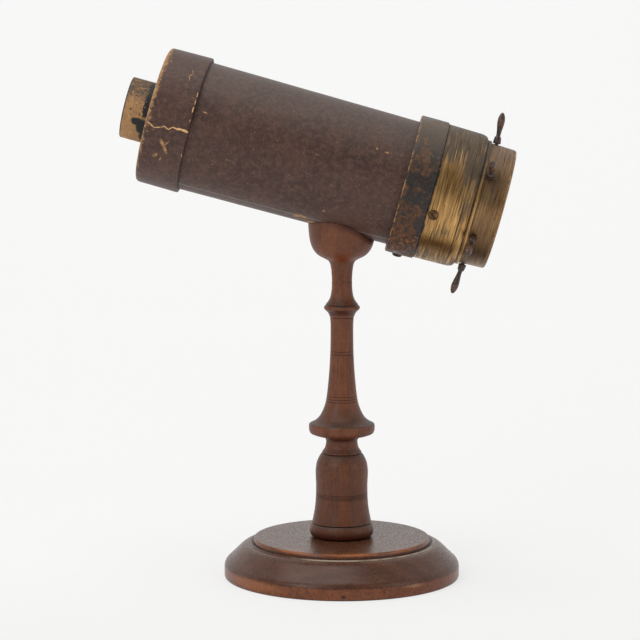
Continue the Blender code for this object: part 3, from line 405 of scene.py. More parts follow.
# Dirt and painted shade: the dark line round the rim's foot, the groove round the table, and the ring where the foot's
# roll sits.
rub(base, "groove_dirt_and_shade", [(76.5, 78, 0, 0.35), (58.4, 59.3, 21.9, 22.3), (20.3, 21.2, 25.9, 26.1)], fade=0.2)
rub(base, "dust_line", [(61.0, 61.5, 22.1, 22.7)], fade=0.2)
plate_wood = stained_wood("stained_mahogany_plate", GRAIN_ACROSS, "#3a1e13", "#513022", "#684430", "#62402c",
                          (0.8, 0.65), (0.25, 0.39, 0.32), RIM_MARKS)
fit(base, plate_wood, "turned_wood", "stand_and_barrel", "base_plate")


# Foot
# A roll and a bell turned from one billet with its grain upright, tenoned into the base. Fine lines were cut round the
# bell with the corner of the chisel, and dark stain has pooled in them. The roll's lower part, where it meets the
# plate, is darkened with stain and painted shade.
GRAIN_UPRIGHT = (1, 1, 0.07)
FOOT_TURNS = 128
FOOT_LINE = (
    (0, 63), (6.8, 63), (6.8, 82), (12.8, 82), ((13.3, 81.75), (14.75, 79.8), (15.8, 77.7), (16.55, 75.7),
    (17.02, 73), (17.25, 71), (17.32, 69), (17.22, 66), (17.05, 63), (17, 59), (17.03, 55.9)), ((16.86, 55.7),
    (17.03, 55.5)), (17.05, 55), ((16.88, 54.8), (17.06, 54.6)), (17.07, 54.1), ((16.9, 53.9), (17.08, 53.7)),
    (17.1, 53.2), ((16.93, 53), (17.12, 52.8)), ((17.35, 49.5), (17.6, 46.8), (18, 43.8), (18.45, 41.2),
    (18.95, 38.8), (19.4, 36.4), (19.5, 35.95)), ((19.15, 35.7), (19.1, 35.45), (19.6, 35.2)), ((20.25, 34.3),
    (20.75, 32.6), (20.95, 30.4), (20.75, 28.6), (20.1, 27.2), (18.6, 26.3)), (11, 26.3), (11, 12.3), (0, 12.3))
foot = turn_piece("mahogany_foot", drawn_line(FOOT_LINE), FOOT_TURNS)
rub(foot, "groove_dirt_and_shade", [(18, 19.6, 35.25, 35.9), (15, 18, 55.54, 55.86), (15, 18, 54.64, 54.96), (15, 18, 53.74, 54.06),
                      (15, 18, 52.84, 53.16)], fade=0.03, share=lambda at: 0.6 if at.z > 50 else 1)
# Stain and painted shade: the lower part of the roll, where it sits on the plate, is darkened.
rub(foot, "stain_and_shade", [(18, 20.8, 26, 29.6)], fade=2.5)
foot_wood = stained_wood("stained_mahogany_foot", GRAIN_UPRIGHT, "#4a2614", "#60331b", "#774527", "#3c322c",
                         (0.2, 1.5), (0.4, 0.54, 0.38))
fit(foot, foot_wood, "turned_wood", "stand_and_barrel", "foot_turning")


# Stem
# One slender turning: a neck, a saucer-edged flange, a trumpet that thins upwards, and a sharp collar, with a tenon at
# each end. Groups of fine lines were cut with the chisel's corner.
STEM_TURNS = 112
STEM_LINE = (
    (0, 205.6), (4.2, 205.6), (4.2, 195.6), (6.5, 195.6), ((6.62, 195.2), (6.65, 193.2), (6.75, 191.2), (6.94, 189.2),
    (7.25, 187.2), (7.7, 185.3), (8.6, 183.3), (9.95, 181.4), (10.55, 180.6)), ((10.5, 180.3), (10.85, 180)),
    ((11.55, 179.2), (11.84, 178.2), (11.4, 177.3), (10.3, 176.3), (9.3, 175.2), (8.4, 173.6), (7.85, 172.1)),
    ((7.68, 171.9), (7.8, 171.6)), ((7.58, 169.4), (7.45, 163.5), (7.49, 157), (7.63, 149.9)), ((7.47, 149.7),
    (7.64, 149.5)), (7.7, 147.9), ((7.55, 147.7), (7.72, 147.5)), ((8.1, 139.7), (8.72, 131.7), (9.5, 123.7),
    (9.95, 120.2)), ((9.82, 120), (10, 119.8)), (10.2, 118.4), ((10.08, 118.2), (10.28, 118)), (10.5, 116.7),
    ((10.38, 116.5), (10.58, 116.3)), ((11.27, 113.7), (12, 111.8), (12.8, 109.8), (13.85, 107.8), (15.2, 105.8),
    (17.2, 103.9), (19.1, 102.7), (20.4, 102.05)), ((21.2, 101.6), (21.62, 100.8), (21.7, 99.6), (21.68, 98.2),
    (21.5, 97)), ((20.9, 95.6), (18.9, 94.5), (15.2, 93.4), (12.4, 92.7)), ((11.1, 91.8), (10.45, 90.6), (10.4, 89),
    (10.62, 87.4), (11.15, 85.6), (12.2, 83.9), (13.05, 82.6), (13.1, 82.3)), (6.5, 82.3), (6.5, 63.3), (0, 63.3))
stem = turn_piece("mahogany_stem", drawn_line(STEM_LINE), STEM_TURNS)
rub(stem, "groove_dirt_and_shade", [(10.3, 10.9, 180.05, 180.55), (7, 7.85, 171.65, 172.05), (7, 8, 149.54, 149.86),
                      (7, 8, 147.54, 147.86), (8, 11, 119.84, 120.16), (8, 11, 118.04, 118.36),
                      (8, 11, 116.34, 116.66)], fade=0.03)
# Stain and painted shade: the neck under the flange and the underside of the top collar are darkened.
rub(stem, "stain_and_shade", [(8, 12.2, 91, 93.4), (8.2, 11, 174.4, 176.6)], fade=1.5)
UPRIGHT_COLOURS = "#512a17", "#69391f", "#824c2d", "#40352f"
upright_wood = stained_wood("stained_mahogany_upright", GRAIN_UPRIGHT, *UPRIGHT_COLOURS, (0.2, 1.5),
                            (0.4, 0.54, 0.38))
fit(stem, upright_wood, "turned_wood", "stand_and_barrel", "stem_turning")


# Saddle cup
# A turned bowl on a short neck, bored for the stem's tenon. Its top was sawn and scraped to the barrel's curve, and the
# barrel lies in it, held by a screw from inside.
axis = Vector(frame["joints"][0]["axis"])
BARREL_SLOPE = math.asin(-axis.z)
BARREL_HEIGHT = frame["joints"][0]["pos_m"][2] + frame["joints"][0]["pos_m"][0] * math.tan(BARREL_SLOPE)
BARREL_PLACE = Matrix.Translation((0, 0, BARREL_HEIGHT)) @ Matrix.Rotation(math.pi / 2 + BARREL_SLOPE, 4, "Y")
TUBE_EYE_R, TUBE_TAPER, TUBE_BACK, TUBE_FRONT = 42.68, 0.0093, -124.0, 84.0
BARREL_TURNS = 160
DRILL_SIDES = 32
CUP_TURNS = 128
BED_FROM, BED_TO, BED_GAP = -30, 50, 0.3
DRILL_R, DRILL_FROM, DRILL_TO = 1.6, 36, 56
CUP_LINE = (
    (0, 237), (22.1, 237), ((22.12, 234.5), (22.08, 231.9), (21.88, 229.3), (21.66, 226.6), (21.3, 224),
    (20.75, 221.4), (19.9, 218.8), (18.6, 216.2), (17.55, 214.8), (16.2, 213.4), (14.3, 212.05), (12, 210.9),
    (9.9, 209.8), (8.5, 208.6), (7.8, 207.2), (7.33, 205), (7, 203), (6.85, 201), (6.72, 199), (6.62, 197),
    (6.6, 195.68)), (4.5, 195.68), (4.5, 205.9), (0, 205.9))


def tube_radius(along):
    """The barrel tapers a little from the eye end to the object end."""
    return TUBE_EYE_R - TUBE_TAPER * (along - TUBE_BACK)


def pick(piece):
    """Takes one piece in hand."""
    bpy.ops.object.select_all(action="DESELECT")
    piece.select_set(True)
    bpy.context.view_layer.objects.active = piece


def lay_on_barrel(piece, place=Matrix.Identity(4)):
    """Moves a piece drawn about the Z axis on to the barrel's axis, and settles its place in its mesh."""
    pick(piece)
    piece.matrix_world = BARREL_PLACE @ place
    bpy.ops.object.transform_apply(location=True, rotation=True, scale=True)
    return piece


def on_barrel(place):
    """Object coordinates turned on to the barrel: X down, Y away from the viewer, Z along it to the object end."""
    from_barrel = BARREL_PLACE.inverted()
    return add_node(place.id_data, "Mapping", {"Vector": place, "Rotation": from_barrel.to_euler(),
                                               "Location": from_barrel.translation})


def cut_away(piece, cutter):
    """Takes a cutter's shape out of a piece and throws the cutter away."""
    pick(piece)
    saw = piece.modifiers.new("cut", "BOOLEAN")
    saw.operation = "DIFFERENCE"
    saw.solver = "EXACT"
    saw.object = cutter
    bpy.ops.object.modifier_apply(modifier=saw.name)
    bpy.data.objects.remove(cutter)
    bpy.ops.object.shade_smooth_by_angle(angle=SHARP_ANGLE)


def standing_out(turn, radius, along, rake=0.0):
    """A place that looks out from the barrel's axis at a turn from straight down, raked towards the eye end."""
    out = Matrix.Translation((math.cos(turn) * radius * MM, math.sin(turn) * radius * MM, along * MM))
    return out @ Matrix.Rotation(turn, 4, "Z") @ Matrix.Rotation(math.pi / 2 + rake, 4, "Y")


def new_prism(name, sides, radius, length):
    """A bare cylinder, or a prism of a few sides, about the Z axis."""
    bpy.ops.object.select_all(action="DESELECT")
    bpy.ops.mesh.primitive_cylinder_add(vertices=sides, radius=radius * MM, depth=length * MM)
    prism = bpy.context.object
    prism.name = prism.data.name = name
    return prism


def drill(name, turn, along):
    """A cutter for a screw's hole."""
    bit = new_prism(name, DRILL_SIDES, DRILL_R, DRILL_TO - DRILL_FROM)
    return lay_on_barrel(bit, standing_out(turn, (DRILL_FROM + DRILL_TO) / 2, along))


SADDLE_SCREW_AT = 14.41
cup = turn_piece("mahogany_saddle_cup", drawn_line(CUP_LINE), CUP_TURNS)
bed_line = [(0, BED_FROM), *((tube_radius(z) + BED_GAP, z) for z in (BED_FROM, BED_TO)), (0, BED_TO)]
bed = turn_piece("barrel_bed", [Vector(point) * MM for point in bed_line], BARREL_TURNS)
cut_away(cup, lay_on_barrel(bed))
cut_away(cup, drill("saddle_screw_hole", 0, SADDLE_SCREW_AT))
# The dark orange-brown spot low on the bowl's near side, under its swell, is stain and painted shade.
cup_wood = stained_wood("stained_mahogany_cup", GRAIN_UPRIGHT, *UPRIGHT_COLOURS, (0.3, 0.75), (0.42, 0.54, 0.38),
                        [("#6c3004", 0.9, 211.4, -88, 11, 6.5, 2.8, 2.0, 1.8)])
# Painted shade: the cup's wood is darkened where it runs close under the barrel, more towards the object end.
tree = cup_wood.node_tree
side = add_node(tree, "SeparateXYZ", {0: on_barrel(add_node(tree, "TexCoord").outputs["Object"])}).outputs
flat = add_node(tree, "CombineXYZ", (side["X"], side["Y"]))
reach = add_node(tree, "VectorMath", {0: flat}, "LENGTH").outputs["Value"]
painted_shade_by_barrel = add_node(tree, "MapRange", (reach, 45.6 * MM, 42.4 * MM))
right = add_node(tree, "MapRange", (side["Z"], -6 * MM, 14 * MM))
body = tree.nodes["Principled BSDF"].inputs["Base Color"].links[0].from_socket
feed_shader(cup_wood, Base_Color=lay(tree, body, ("#3a1307", painted_shade_by_barrel, right, 0.9)))
fit(cup, cup_wood, "turned_wood", "stand_and_barrel", "saddle_cup")


# Barrel tube
# Pasteboard rolled into a long, slightly tapering tube and covered in brown leather-cloth, pasted down with a lapped
# joint low on its near side. The covering is rubbed, flecked with tan, and scuffed through beside the saddle.
TUBE_WALL = 3.0
TUBE_SEAM = -27


def torn_line(corners, widths, radius):
    """Spots end to end along a crooked line: corners are (along, turn), widths are half the width of each piece."""
    spots = []
    for (from_z, from_turn), (to_z, to_turn), wide in zip(corners, corners[1:], widths):
        across = math.radians(to_turn - from_turn) * radius
        slant = -math.degrees(math.atan2(across, to_z - from_z))
        reach = math.hypot(across, to_z - from_z) / 2 + wide / 2
        spots.append(((from_z + to_z) / 2, (from_turn + to_turn) / 2, radius, wide, reach, 1.0, 0.8, slant))
    return spots


def pile(tree, start, *layers):
    """A mask or height with others added to it, each (mask, share), or taken from it where the share is negative."""
    for mask, share in layers:
        start = add_node(tree, "Math", (mask, share, start), "MULTIPLY_ADD")
    return start


def leather_cloth(name, scuffs, nicks=(), painted_sheen_share=0.27, seam=None):
    """Brown leather-cloth: a pressed pebble grain, dull and unevenly faded, worn through to the tan board, with a
    painted sheen on top.
    """
    made, tree, place = new_finish(name, IOR=1.45)
    place = on_barrel(place)
    faded = patches(place, 24, 0.38, 0.66)
    mottle = patches(place, 3.4, 0.38, 0.66, detail=5.0)
    pebble = patches(place, 0.9, 0.36, 0.64, detail=2.0)
    fleck = patches(place, 1.5, 0.63, 0.7, detail=5.0)
    fleck_field = patches(place, 15, 0.45, 0.6)
    rubs = patches(place, 2.6, 0.6, 0.75, stretch=(0.5, 0.5, 1), detail=5.0)
    # Painted sheen: upward faces are greyed as though they mirrored the light above.
    top = add_node(tree, "SeparateXYZ", {0: add_node(tree, "NewGeometry").outputs["Normal"]}).outputs["Z"]
    painted_top_sheen = add_node(tree, "MapRange", (top, 0.2, 1.0, 0, painted_sheen_share))
    body = lay(tree, "#422922", ("#50342a", faded), ("#66493b", mottle, 0.65),
               ("#5c392c", patches(place, 38, 0.42, 0.62), 0.2), ("#2c1c18", pebble, 0.6), ("#70503d", rubs, 0.45),
               ("#9a7450", fleck, fleck_field, 0.7), ("#686560", painted_top_sheen))
    worn = frayed("worn", place, 2.2)
    for spot in scuffs:
        spot = scuff(place, *spot, soft=0.6)
        worn = add_node(tree, "Math", (worn, spot), "MAXIMUM")
    board = lay(tree, "#8a6242", ("#b08658", patches(place, 2.0, 0.35, 0.6, detail=5.0)),
                ("#dbb27e", patches(place, 1.2, 0.5, 0.7), 0.4))
    body = lay(tree, body, (board, worn))
    height = pile(tree, 0, (pebble, 0.4), (worn, -1))
    for spot in nicks:
        torn = scuff(place, *spot)
        body = lay(tree, body, ("#d2a673", torn))
        height = pile(tree, height, (torn, -1))
    body = lay(tree, body, ("#1c1a18", "lined"))
    if seam is not None:
        turned = add_node(tree, "Mapping", {"Vector": place, "Rotation": (0, 0, math.radians(seam))},
                          vector_type="TEXTURE")
        side = add_node(tree, "SeparateXYZ", {0: turned}).outputs
        lap = add_node(tree, "MapRange", (side["Y"], -0.15 * MM, 0.15 * MM))
        outer = add_node(tree, "Math", (side["X"], 0.0), "GREATER_THAN")
        height = pile(tree, height, (lap, outer))
        # Painted highlight: a pale grey line runs along the edge of the lap.
        seam_painted_highlight = add_node(tree, "Math", {0: side["Y"]}, "ABSOLUTE")
        seam_painted_highlight = add_node(tree, "MapRange", (seam_painted_highlight, 0.9 * MM, 0.3 * MM))
        body = lay(tree, body, ("#948a80", seam_painted_highlight, outer, 0.45))
    return end_finish(made, body, (worn, 0.5, 0.85), height, 0.12, 0.6)


def dent(piece, depth, size, middle=0.5):
    """Old pasteboard is never quite true: a piece's surface is moved in and out by a soft cloud."""
    cloud = bpy.data.textures.new(piece.name, "CLOUDS")
    cloud.noise_scale = size * MM
    cloud.noise_depth = 1
    pick(piece)
    wave = piece.modifiers.new("uneven", "DISPLACE")
    wave.texture = cloud
    wave.texture_coords = "LOCAL"
    wave.strength = depth * MM
    wave.mid_level = middle
    bpy.ops.object.modifier_apply(modifier=wave.name)
    bpy.data.textures.remove(cloud)


TUBE_SCUFFS = [
    *torn_line([(-21.0, -22.7), (-17.3, -28.3), (-13.5, -25.8)], (1.9, 1.7), 41.6),
    *torn_line([(-13.2, -15.0), (-6.5, -17.4)], (2.8,), 41.6),
    (-3.2, -45.2, 41.5, 0.6, 0.8, 1.2, 1.6), (-92.0, -106, 42.4, 0.4, 1.3, 1.2, 1.6),
    (25.7, -115.4, 41.2, 0.5, 1.1, 1.2, 1.4), (18.9, -116.6, 41.2, 0.6, 0.5, 1.2, 1.2),
    (-60, 70, 42, 1.2, 5, 3, 4), (20, 140, 41, 1.0, 4, 3, 4)]
tube_line = ((tube_radius(TUBE_FRONT), TUBE_FRONT), (tube_radius(TUBE_BACK), TUBE_BACK),
             (tube_radius(TUBE_BACK) - TUBE_WALL, TUBE_BACK), (tube_radius(TUBE_FRONT) - TUBE_WALL, TUBE_FRONT))
LONGEST_STEP = 4.0 * MM
tube = turn_piece("covered_tube", drawn_line(tube_line), BARREL_TURNS, hollow=True)
rub(tube, "lined", [(0, 40.2, -130, 90)], fade=0.2)
dent(tube, 0.16, 30)
lay_on_barrel(tube)
NEAR_SCREW_TURN = math.radians(16 - 90)
FAR_SCREW_TURN = math.radians(16 + 90)
COLLAR_SCREW_AT = 64.4
BAND_SCREW_AT = 49.8
for turn, along in ((0, SADDLE_SCREW_AT), (NEAR_SCREW_TURN, COLLAR_SCREW_AT), (FAR_SCREW_TURN, COLLAR_SCREW_AT),
                    (0, BAND_SCREW_AT)):
    cut_away(tube, drill("tube_hole", turn, along))
tube_finish = leather_cloth("brown_leather_cloth", TUBE_SCUFFS, seam=TUBE_SEAM)
fit(tube, tube_finish, "leather_cloth", "stand_and_barrel", "barrel_tube")


# Mirrors and their seats
# Two long strips of silvered glass stand in a V in the tube, closed by a strip of black card and held by two wooden
# discs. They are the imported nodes, and get their finishes here.
silver, tree, place = new_finish("silvered_plate_glass", Metallic=1.0, IOR=1.5)
spots = patches(place, 6, 0.62, 0.7)
cloud = lay(tree, "#d3d6d4", ("#8f8d85", spots))
end_finish(silver, cloud, (spots, 0.05, 0.3))

black_card, tree, place = new_finish("black_card", IOR=1.45)
fibres = patches(place, 0.6, 0.35, 0.7)
tone = lay(tree, "#161514", ("#26231f", fibres))
end_finish(black_card, tone, 0.85, fibres, 0.05)

bare_board, tree, place = new_finish("bare_pasteboard", IOR=1.45)
pulp = patches(place, 1.1, 0.32, 0.7)
stain = patches(place, 9, 0.45, 0.7)
tone = lay(tree, "#9a7852", ("#b5926a", pulp), ("#86663f", stain))
end_finish(bare_board, tone, 0.85, pulp, 0.08)


def dress(finish, *nodes):
    """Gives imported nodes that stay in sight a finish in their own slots."""
    for name in nodes:
        for place in frame["nodes"][name].material_slots:
            place.material = finish


seat_wood = stained_wood("unpolished_beech", GRAIN_ACROSS, "#7d5c40", "#94714f", "#a78560", "#8d7a66", (0.5, 0.3),
                         (0.6, 0.7, 0.3))
dress(silver, "mirror_near", "mirror_far")
dress(black_card, "mirror_back_strip")
dress(seat_wood, "mirror_seat_eye", "mirror_seat_object")
dress(bare_board, "collar_packing")


# Eye cap
# A shallow pasteboard cup, covered like the tube and glued over its end. Its rim is worn round to tan board, and the
# covering has split along the side towards the viewer.
CAP_LINE = (
    (42.98, -99), (44.4, -99), ((44.86, -99.15), (45.04, -99.6)), (44.74, -124.6), ((44.55, -125.7), (43.9, -126.6),
    (42.9, -127.1), (41.6, -127.25)), (20.3, -127.25), (20.3, -124.3), (42.98, -124.3))
LONGEST_STEP = 1.0 * MM
cap = turn_piece("covered_eye_cap", drawn_line(CAP_LINE), BARREL_TURNS, hollow=True)
rub(cap, "worn", [(42.6, 46, -128, -126.4)], fade=3.6, share=lambda at: 0.8 - 0.34 * at.x / 45)
rub(cap, "lined", [(42, 43.4, -124.4, -98)], fade=0.3)
lay_on_barrel(cap)
CAP_SCUFFS = [
    *torn_line([(-114.3, -73.5), (-111.7, -69.2), (-109.6, -64.8)], (1.0, 0.8), 45),
    *torn_line([(-111.9, -70), (-109.6, -74)], (0.3,), 45), (-115.2, -60.5, 45, 0.9, 0.6, 1.5, 2.6),
    (-112.6, -57, 45, 1.2, 0.4, 1.5, 2.6),
    *torn_line([(-107.8, -141), (-106.6, -137), (-108.4, -133.5), (-107.4, -129.5)], (0.2, 0.3, 0.3), 45),
    (-122.6, -145.8, 45, 0.7, 0.5, 1.5, 1.5), (-116.6, -59, 45, 1.2, 0.7, 1.5, 2.4),
    (-112, 60, 45, 2.0, 2.0, 2.0, 4.0), (-104, 120, 45, 2.6, 0.8, 2.0, 3.0)]
CAP_NICKS = [
    *torn_line([(-125.4, -86.0), (-120.8, -82.6), (-116.4, -84.3), (-114.8, -86.0), (-111.7, -84.0), (-109.1, -86.9),
                (-106.5, -86.2), (-103.6, -87.0), (-99.0, -86.1)], (0.35, 0.3, 0.3, 0.35, 0.35, 0.5, 0.75, 0.8), 45),
    (-99.9, -118.2, 45, 1.9, 0.28, 1.2, 1.2), (-99.7, -111, 45, 1.6, 0.22, 1.2, 1.0),
    (-99.8, -104.8, 45, 2.0, 0.34, 1.2, 1.2),
    (-99.8, -95.6, 45, 1.0, 0.2, 1.2, 1.0), (-99.6, -66, 45, 1.6, 0.16, 1.2, 1.0)]
fit(cap, leather_cloth("brown_leather_cloth_cap", CAP_SCUFFS, CAP_NICKS, 0.1), "leather_cloth", "stand_and_barrel",
    "eye_cap")


# Eyepiece
# A short pasteboard tube glued in the cap's end wall, bare and rubbed to tan, with what is left of its black paint. A
# glass, a stop with the peephole and a split brass ring are seated inside it.
EYEPIECE_LINE = (
    (20, -119.7), (20, -145.3), ((19.85, -145.78), (19.4, -146.0)), (18.1, -146.0), ((17.65, -145.85),
    (17.5, -145.3)), (17.5, -119.7))
EYEPIECE_TURNS = 128
MOUTH_SKEW = math.radians(1.6)
eyepiece = turn_piece("pasteboard_eyepiece", drawn_line(EYEPIECE_LINE), EYEPIECE_TURNS, hollow=True)
rub(eyepiece, "blacked", [(10, 21, -147, -145.5), (10, 18.2, -147, -119)], fade=0.4)
rub(eyepiece, "banded", [(19.5, 21, -132.2, -119)], fade=0.8)
bpy.ops.object.mode_set(mode="EDIT")
bpy.ops.mesh.select_all(action="DESELECT")
shape = bmesh.from_edit_mesh(eyepiece.data)
for point in shape.verts:
    point.select_set(point.co.z < -145.2 * MM)
bpy.ops.transform.rotate(value=MOUTH_SKEW, orient_axis="Y", center_override=(-20 * MM, 0, -146 * MM))
bpy.ops.object.mode_set(mode="OBJECT")
lay_on_barrel(eyepiece)
rubbed_board, tree, place = new_finish("rubbed_pasteboard", IOR=1.45)
place = on_barrel(place)
pulp = patches(place, 0.9, 0.34, 0.68)
stain = patches(place, 4, 0.4, 0.64, detail=5.0)
drawn = patches(place, 0.8, 0.4, 0.66, stretch=(0.2, 0.2, 1))
side = add_node(tree, "SeparateXYZ", {0: place}).outputs
dirty = add_node(tree, "MapRange", (side["X"], -5 * MM, -11 * MM))
grime = patches(place, 1.9, 0.3, 0.54, detail=5.0)
tone = lay(tree, "#a87e54", ("#c49a6c", pulp), ("#8a6540", drawn, 0.35), ("#8f6a45", stain, 0.45),
           ("#554a41", dirty, grime, 0.85))
waver = patches(place, 1.5, 0.3, 0.7)
banded = add_node(tree, "Math", ("banded", waver), "ADD")
banded = add_node(tree, "MapRange", (banded, 0.85, 1.0))
upper = add_node(tree, "MapRange", (side["X"], 4 * MM, 2 * MM))
banded = add_node(tree, "Math", (banded, upper), "MULTIPLY")
paint = add_node(tree, "Math", ("blacked", banded), "MAXIMUM")
for spot in ((-134.3, -71, 20, 2.6, 4.6, 2.2, 1.7), (-131.0, -62, 20, 5.6, 3.8, 2.2, 1.7),
             (-129.2, -40, 20, 5.2, 3.0, 2.2, 1.7), (-132, 60, 20, 5, 3.2, 2.2, 2.4)):
    paint = add_node(tree, "Math", (paint, scuff(place, *spot)), "MAXIMUM")
tone = lay(tree, tone, ("#1b1b1c", paint))
height = add_node(tree, "Math", (pulp, paint), "ADD")
end_finish(rubbed_board, tone, (paint, 0.8, 0.55), height, 0.08, 0.6)
fit(eyepiece, rubbed_board, "pasteboard", "stand_and_barrel", "eye_tube")

old_glass, tree, place = new_finish("old_window_glass", IOR=1.52, Transmission_Weight=1.0)
film = patches(place, 7, 0.4, 0.75)
tone = lay(tree, "#f1f6f3", ("#e6e9e2", film))
end_finish(old_glass, tone, (film, 0.0, 0.05))
GLASS_ARRIS = 0.25


def glass_disc(name, radius, back, front, node, body):
    """A disc of glass with its arris ground off."""
    edge = GLASS_ARRIS
    line = ((0, front), (radius - edge, front), (radius, front - edge), (radius, back + edge), (radius - edge, back),
            (0, back))
    disc = lay_on_barrel(turn_piece(name, drawn_line(line), EYEPIECE_TURNS))
    fit(disc, old_glass, "clear_glass", body, node)


LONGEST_STEP = 6.0 * MM
glass_disc("eye_lens_glass", 17.2, -126.0, -124.4, "eye_glass", "stand_and_barrel")
dress(black_card, "eye_stop")


# Object-end band
# A thick ring of pasteboard pasted round the tube behind the brass and painted black. The paint has rubbed and flaked
# back to rusty brown, and both edges show worn board.
BAND_LINE = (
    (41.45, 60), (44.6, 60), ((45.25, 59.85), (45.62, 59.3)), ((45.68, 50), (45.62, 42.1)), ((45.3, 41.5),
    (44.6, 41.3)), (41.45, 41.3))
LONGEST_STEP = 1.0 * MM
band = turn_piece("painted_band", drawn_line(BAND_LINE), BARREL_TURNS, hollow=True)
rub(band, "worn", [(44.6, 46, 41, 41.5)], fade=0.9)
lay_on_barrel(band)
cut_away(band, drill("band_hole", 0, BAND_SCREW_AT))
RUSTED = [(48.5, -114, 45.7, 11, 5, 5, 5), (49.1, -89.5, 45.7, 2.6, 2.4, 3, 2.5), (49.4, -60, 45.7, 17, 6.5, 5, 5),
          (50.9, -36, 45.7, 9, 9, 5, 4), (50.0, 20, 45.7, 12, 8, 5, 6), (47.0, 95, 45.7, 20, 5, 5, 6)]
BLACKED = [(46.0, -143, 45.7, 6, 3.5, 3, 4), (56.8, -128, 45.7, 15, 3, 4, 4), (49.6, -98, 45.7, 3.8, 12, 3, 3),
           (53.1, -82, 45.7, 4.2, 10, 3, 3), (59.0, -72, 45.7, 7, 3, 3, 3)]
flaked_paint, tree, place = new_finish("flaked_black_paint", IOR=1.48, Specular_IOR_Level=0.3)
place = on_barrel(place)
side = add_node(tree, "SeparateXYZ", {0: place}).outputs
rust = patches(place, 6, 0.34, 0.66, detail=8.0)
fine = patches(place, 1.6, 0.32, 0.68, detail=4.0)
deep = patches(place, 3.0, 0.4, 0.75, detail=6.0)
for spots, share in ((RUSTED, 0.42), (BLACKED, -0.42)):
    rust = pile(tree, rust, *((scuff(place, *spot, soft=0.5), share) for spot in spots))
rust = add_node(tree, "MapRange", (rust, 0.36, 0.8))
paint = lay(tree, "#272221", ("#3a322e", fine))
flaked = patches(place, 2.4, 0.48, 0.6, detail=7.0)
brown = lay(tree, "#3f2b20", ("#5b3f2f", fine), ("#6b472f", deep, 0.6), ("#1f1c1a", flaked, 0.45))
low = add_node(tree, "MapRange", (side["X"], 20 * MM, 36 * MM))
ember = patches(place, 2.2, 0.53, 0.63, detail=5.0)
# Painted sheen: the band's upper side is greyed as though it mirrored the light above.
painted_top_sheen = add_node(tree, "MapRange", (side["X"], -14 * MM, -44 * MM))
worn = frayed("worn", place, 2.0)
broken = patches(place, 5, 0.42, 0.56, detail=4.0)
chips = patches(place, 1.6, 0.68, 0.72, detail=4.0)
tone = lay(tree, paint, (brown, rust), ("#a5673c", ember, low, 0.6), ("#796b5d", painted_top_sheen, 0.5),
           ("#b08454", worn, broken, 0.9), ("#8a6a48", chips, 0.7))
height = pile(tree, 0, (fine, 0.35), (rust, -1))
end_finish(flaked_paint, tone, (rust, 0.45, 0.65), height, 0.12, 0.6)
fit(band, flaked_paint, "painted_band", "stand_and_barrel", "object_end_band")


# Brass collar
# Sheet brass spun over a former: a skirt, a rounded shoulder, and the neck in which the ring turns. Its lacquer has
# gone, and it is streaked all round by rubbing, golden at the side and brown on top.
COLLAR_LINE = (
    (40.55, 89.5), (41.2, 89.5), ((41.4, 89.4), (41.44, 89.1)), (41.44, 87.2), ((41.5, 86.95), (41.75, 86.86)),
    ((42.6, 86.55), (43.4, 85.6), (43.95, 84.2), (44.22, 82.6), (44.29, 81.4)), ((44.21, 81.2), (44.3, 81)),
    (44.32, 80), (44.69, 60.3), (43.4, 60.3), (43.4, 81.7), ((42.85, 83), (42.3, 84.3)), (42.3, 86), (40.55, 86))


